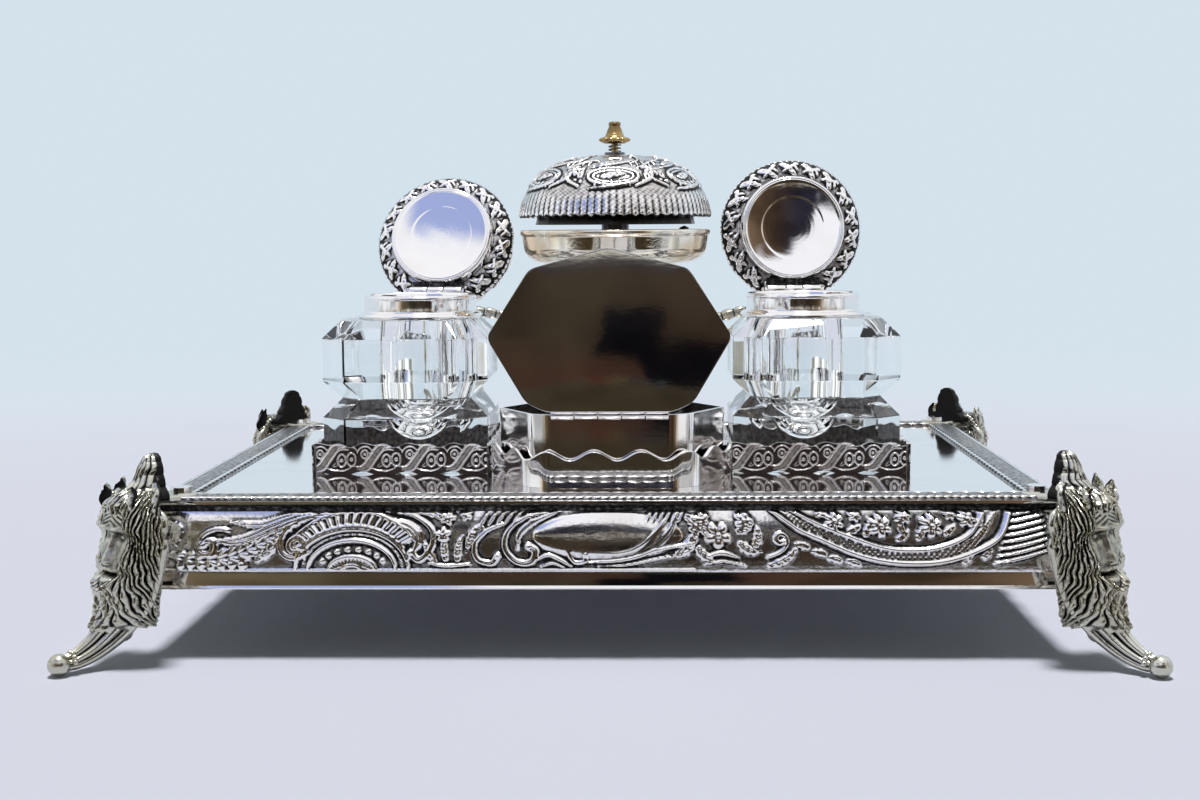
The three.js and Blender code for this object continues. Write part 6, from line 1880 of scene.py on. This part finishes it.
DOME_RADIUS = 31.0
DOME_HEIGHT = 20.2
CUP_OUTSIDE = ((2.6, 0), (21.5, 0), (23.5, 0.2), (26.3, 0.9), (28.4, 2.2), (29.4, 3.6), (29.75, 4.6),
               (30.3, 8.9), (30.75, 9.3), (31.0, 10.0), (30.9, 10.7), (30.5, 11.0))
CUP_INSIDE = ((29.6, 10.9), (29.2, 10.2), (28.6, 5.4), (27.6, 3.6), (25.2, 2.0), (21, 1.3), (2.6, 1.25))
PILLAR_FOOT = ((0, SEAT_GAP), (13, SEAT_GAP), (13, 1.0), (12.4, 1.7), (10.4, 2.2), (9.6, 2.9))
PILLAR_SHAFT = ((9.0, 3.0), (5.0, 6.5), (3.6, 13), (5.4, 20.5), (7.0, 26.5), (5.4, 32), (3.7, 38.5),
                (3.5, 46), (4.2, 54), (8.0, 60.5))
PILLAR_HEAD = 9.0
KNOB_HEIGHT = 7.1
PLUNGER_RADIUS = 1.05
KNOB_PROFILE = ((3.2, 0), (4.6, 0.7), (4.8, 1.3), (4.4, 1.9), (3.1, 2.3), (2.9, 2.9), (2.5, 3.5), (2.1, 4.6),
                (1.75, 5.6), (2.0, 6.2), (1.9, 6.8), (1.2, KNOB_HEIGHT), (0, KNOB_HEIGHT))
DOME_STEPS = 600
DOME_ROWS = 118
SPRING_WIRE = 0.22
SPRING_TURNS = 2
SPRING_STEPS = 80


class INKSTAND_OT_bell(PieceOperator, bpy.types.Operator):
    """Builds the bell's pillar, cup, chased cover and push knob"""

    bl_idname = "inkstand.bell"
    bl_label = "Bell"

    def build(self, settings):
        silver = polished_silver(settings)
        centre = node_axis("bell_cup")[:3]
        toned = silver_look("toned_silver", (0.9, 0.85, 0.75, 1), 0.3, 0.75, 0.05, 0.05, 0.03,
                            film_colour=(0.66, 0.5, 0.3, 1))
        cup = revolved(filleted(CUP_OUTSIDE + CUP_INSIDE, 0.5, 4, closed=True), 160)
        place("bell_base_cup", moved(cup, centre), toned, "polished_silver", "bell_cup")

        seat = node_axis("bell_cover")[:3]
        cover = chased_bowl(DOME_RADIUS, DOME_HEIGHT, 1.0, settings.dome_relief / MM * 1.15, draw_bell,
                            DOME_STEPS, DOME_ROWS, 2.5, DOME_SCALLOPS, 0.75, ground=0.44)
        place("bell_chased_cover", moved(cover, seat), chased_silver(settings), "chased_silver", "bell_cover",
              sharp=70)

        x, y, _, top = node_axis("bell_pillar")
        tall = top - TRAY_TOP
        head = ((PILLAR_HEAD, tall - 1.4), (PILLAR_HEAD, tall - 0.2), (0, tall - 0.1))
        profile = np.concatenate((PILLAR_FOOT, smooth_path(PILLAR_SHAFT, 70), head))
        place("bell_turned_pillar", moved(revolved(profile, 72), (x, y, TRAY_TOP)), silver, "polished_silver",
              "bell_pillar")
        self.knob(settings)

    def knob(self, settings):
        """The push knob: a fluted cone over a flange, on its plunger."""
        x, y, bottom, top = node_axis("bell_knob")
        under = top - KNOB_HEIGHT
        head = [(r, under + z) for r, z in KNOB_PROFILE]
        profile = filleted([(0, bottom), (PLUNGER_RADIUS, bottom), (PLUNGER_RADIUS, under), *head], 0.22, 3)
        shell = revolved(pointed(profile), 72)
        angle = np.arctan2(shell.points[:, 1], shell.points[:, 0])
        height = shell.points[:, 2] - under
        flute = 0.09 * np.cos(14 * angle) * np.exp(-((height - 1.3) / 0.6) ** 2)
        flute += 0.07 * np.cos(10 * angle) * np.exp(-((height - 4.4) / 1.2) ** 2)
        points = shell.points.copy()
        points[:, :2] *= (1 + flute)[:, None]
        brass = plain_metal("aged_brass", (0.5, 0.35, 0.15, 1), 0.22, 0.7, (0.13, 0.08, 0.035, 1))
        place("bell_push_knob", moved(shell._replace(points=points), (x, y, 0)), brass, "gilt_brass",
              "bell_knob")
        self.spring()

    def spring(self):
        """The return spring under the knob: a wire round a helix, whose radius and height come from the
        spring's box."""
        low, high = node_box("knob_spring")
        middle = (low + high) / 2
        radius = (high[0] - low[0]) / 2 - SPRING_WIRE
        share = np.linspace(0, 1, SPRING_STEPS)
        angle = share * TURN * SPRING_TURNS
        rise = low[2] + SPRING_WIRE + share * (high[2] - low[2] - 2 * SPRING_WIRE)
        path = np.column_stack((middle[0] + radius * np.cos(angle), middle[1] + radius * np.sin(angle), rise))
        outwards = np.column_stack((np.cos(angle), np.sin(angle), 0 * angle))
        wire = carried(path, round_section(np.full(SPRING_STEPS, SPRING_WIRE), 12), outwards)
        steel = dark_steel("aged_spring_steel")
        foot, head = ((middle[0] * MM, middle[1] * MM, z * MM) for z in (low[2], high[2]))
        place("knob_return_spring", wire, steel, "dark_steel", "knob_spring",
              body=("stand", "push_knob", foot, head))


# Pen rest

RAIL_STEPS = 360
RAIL_RADIUS = 1.25
RAIL_SWELL = 0.65
RAIL_BEAD = 4.2
RAIL_DIP = 2.5
POST_FOOT = ((0, SEAT_GAP), (6, SEAT_GAP), (6, 0.9), (4.8, 1.7), (3.2, 2.2))
POST_SHAFT = ((2.4, 3.2), (1.8, 7), (2.0, 12), (3.5, 15.4), (2.0, 18), (1.8, 24), (3.5, 28), (2.0, 31),
              (1.8, 37))
POST_HEAD = 3.0


class INKSTAND_OT_pen_rest(PieceOperator, bpy.types.Operator):
    """Builds the pen rest behind the bottles"""

    bl_idname = "inkstand.pen_rest"
    bl_label = "Pen rest"

    def build(self, settings):
        look = cast_silver(settings)
        low, high = node_box("pen_rail")
        half = (high[0] - low[0]) / 2 - 1.0
        y = (low[1] + high[1]) / 2
        post_x = node_box("pen_post_right")[0][0] + 6.0
        x = np.linspace(-half, half, RAIL_STEPS)
        crest = high[2] - 2.0
        dip = RAIL_DIP * (1 - np.cos(TURN * (np.abs(x) - post_x) / post_x)) * (np.abs(x) < post_x)
        path = np.column_stack((x, np.full(RAIL_STEPS, y), crest - dip))
        radius = RAIL_RADIUS + RAIL_SWELL * np.abs(np.sin(math.pi * x / RAIL_BEAD)) ** 0.6
        radius *= np.clip((half - np.abs(x)) / 2.5, 0.25, 1) ** 0.5
        section = round_section(radius, 16, 1.0, 4, 0.1, 24.0)
        wear = np.clip((radius - 1.2) / 0.6, 0, 1)[:, None] + 0 * section[..., 0]
        rail = carried(path, section, (0, 1, 0), wear)
        place("pen_knobbed_rail", rail, look, "cast_silver", "pen_rail", sharp=60)
        for label in ("left", "right"):
            middle, _, _, top = node_axis(f"pen_post_{label}")
            top -= TRAY_TOP
            shaft = smooth_path((*POST_SHAFT, (POST_HEAD, top - 1.4)), 60)
            profile = np.concatenate((POST_FOOT, shaft, ((POST_HEAD, top - 0.3), (0, top - 0.1))))
            place(f"pen_turned_post_{label}", moved(revolved(profile, 48), (middle, y, TRAY_TOP)), look,
                  "cast_silver", f"pen_post_{label}")


# Pieces that stay as they are in the frame

class INKSTAND_OT_fittings(PieceOperator, bpy.types.Operator):
    """Gives the screws, nuts, pins and the bell's works their finishes"""

    bl_idname = "inkstand.fittings"
    bl_label = "Fittings"

    def build(self, settings):
        bright = silver_look("fitting_silver", colour_of(settings, "silver_tone"), 0.3, 0.2, 0.1, 0.1, 0.05,
                             carved=False)
        steel = dark_steel("aged_steel")
        # The gong is made nearly black: painted shade in the hollow under the bell cover.
        gong = plain_metal("bell_metal_darkened_as_shade", (0.07, 0.065, 0.06, 1), 0.3, 0.4, (0.04, 0.03, 0.02, 1))
        dress(bright, *[f"foot_screw_{corner}" for corner in CORNERS], "lid_pin_left", "lid_pin_right",
              "box_hinge_pin")
        dress(steel, *[f"foot_nut_{corner}" for corner in CORNERS], "bell_pillar_nut", "bell_post",
              "hammer_pin", "bell_hammer", "bell_cover_nut", "pen_nut_left", "pen_nut_right")
        dress(gong, "bell_gong")


class INKSTAND_PT_panel(bpy.types.Panel):
    """Lists the inkstand's pieces in the sidebar"""

    bl_label = "Inkstand"
    bl_idname = "INKSTAND_PT_panel"
    bl_space_type = "VIEW_3D"
    bl_region_type = "UI"
    bl_category = "Inkstand"

    def draw(self, context):
        for name in InkstandSettings.__annotations__:
            self.layout.prop(context.scene.inkstand, name)
        for operator in OPERATORS:
            self.layout.operator(operator.bl_idname)


OPERATORS = (INKSTAND_OT_stage, INKSTAND_OT_tray, INKSTAND_OT_feet, INKSTAND_OT_bottles, INKSTAND_OT_lids,
             INKSTAND_OT_galleries, INKSTAND_OT_box, INKSTAND_OT_bell, INKSTAND_OT_pen_rest,
             INKSTAND_OT_fittings)
CLASSES = (InkstandSettings, *OPERATORS, INKSTAND_PT_panel)


def register():
    for kind in CLASSES:
        bpy.utils.register_class(kind)
    bpy.types.Scene.inkstand = bpy.props.PointerProperty(type=InkstandSettings)


def unregister():
    del bpy.types.Scene.inkstand
    for kind in reversed(CLASSES):
        bpy.utils.unregister_class(kind)


def main():
    register()
    bpy.ops.inkstand.stage()
    bpy.ops.inkstand.tray()
    bpy.ops.inkstand.feet()
    bpy.ops.inkstand.bottles()
    bpy.ops.inkstand.lids()
    bpy.ops.inkstand.galleries()
    bpy.ops.inkstand.box()
    bpy.ops.inkstand.bell()
    bpy.ops.inkstand.pen_rest()
    bpy.ops.inkstand.fittings()


if __name__ == "__main__":
    main()
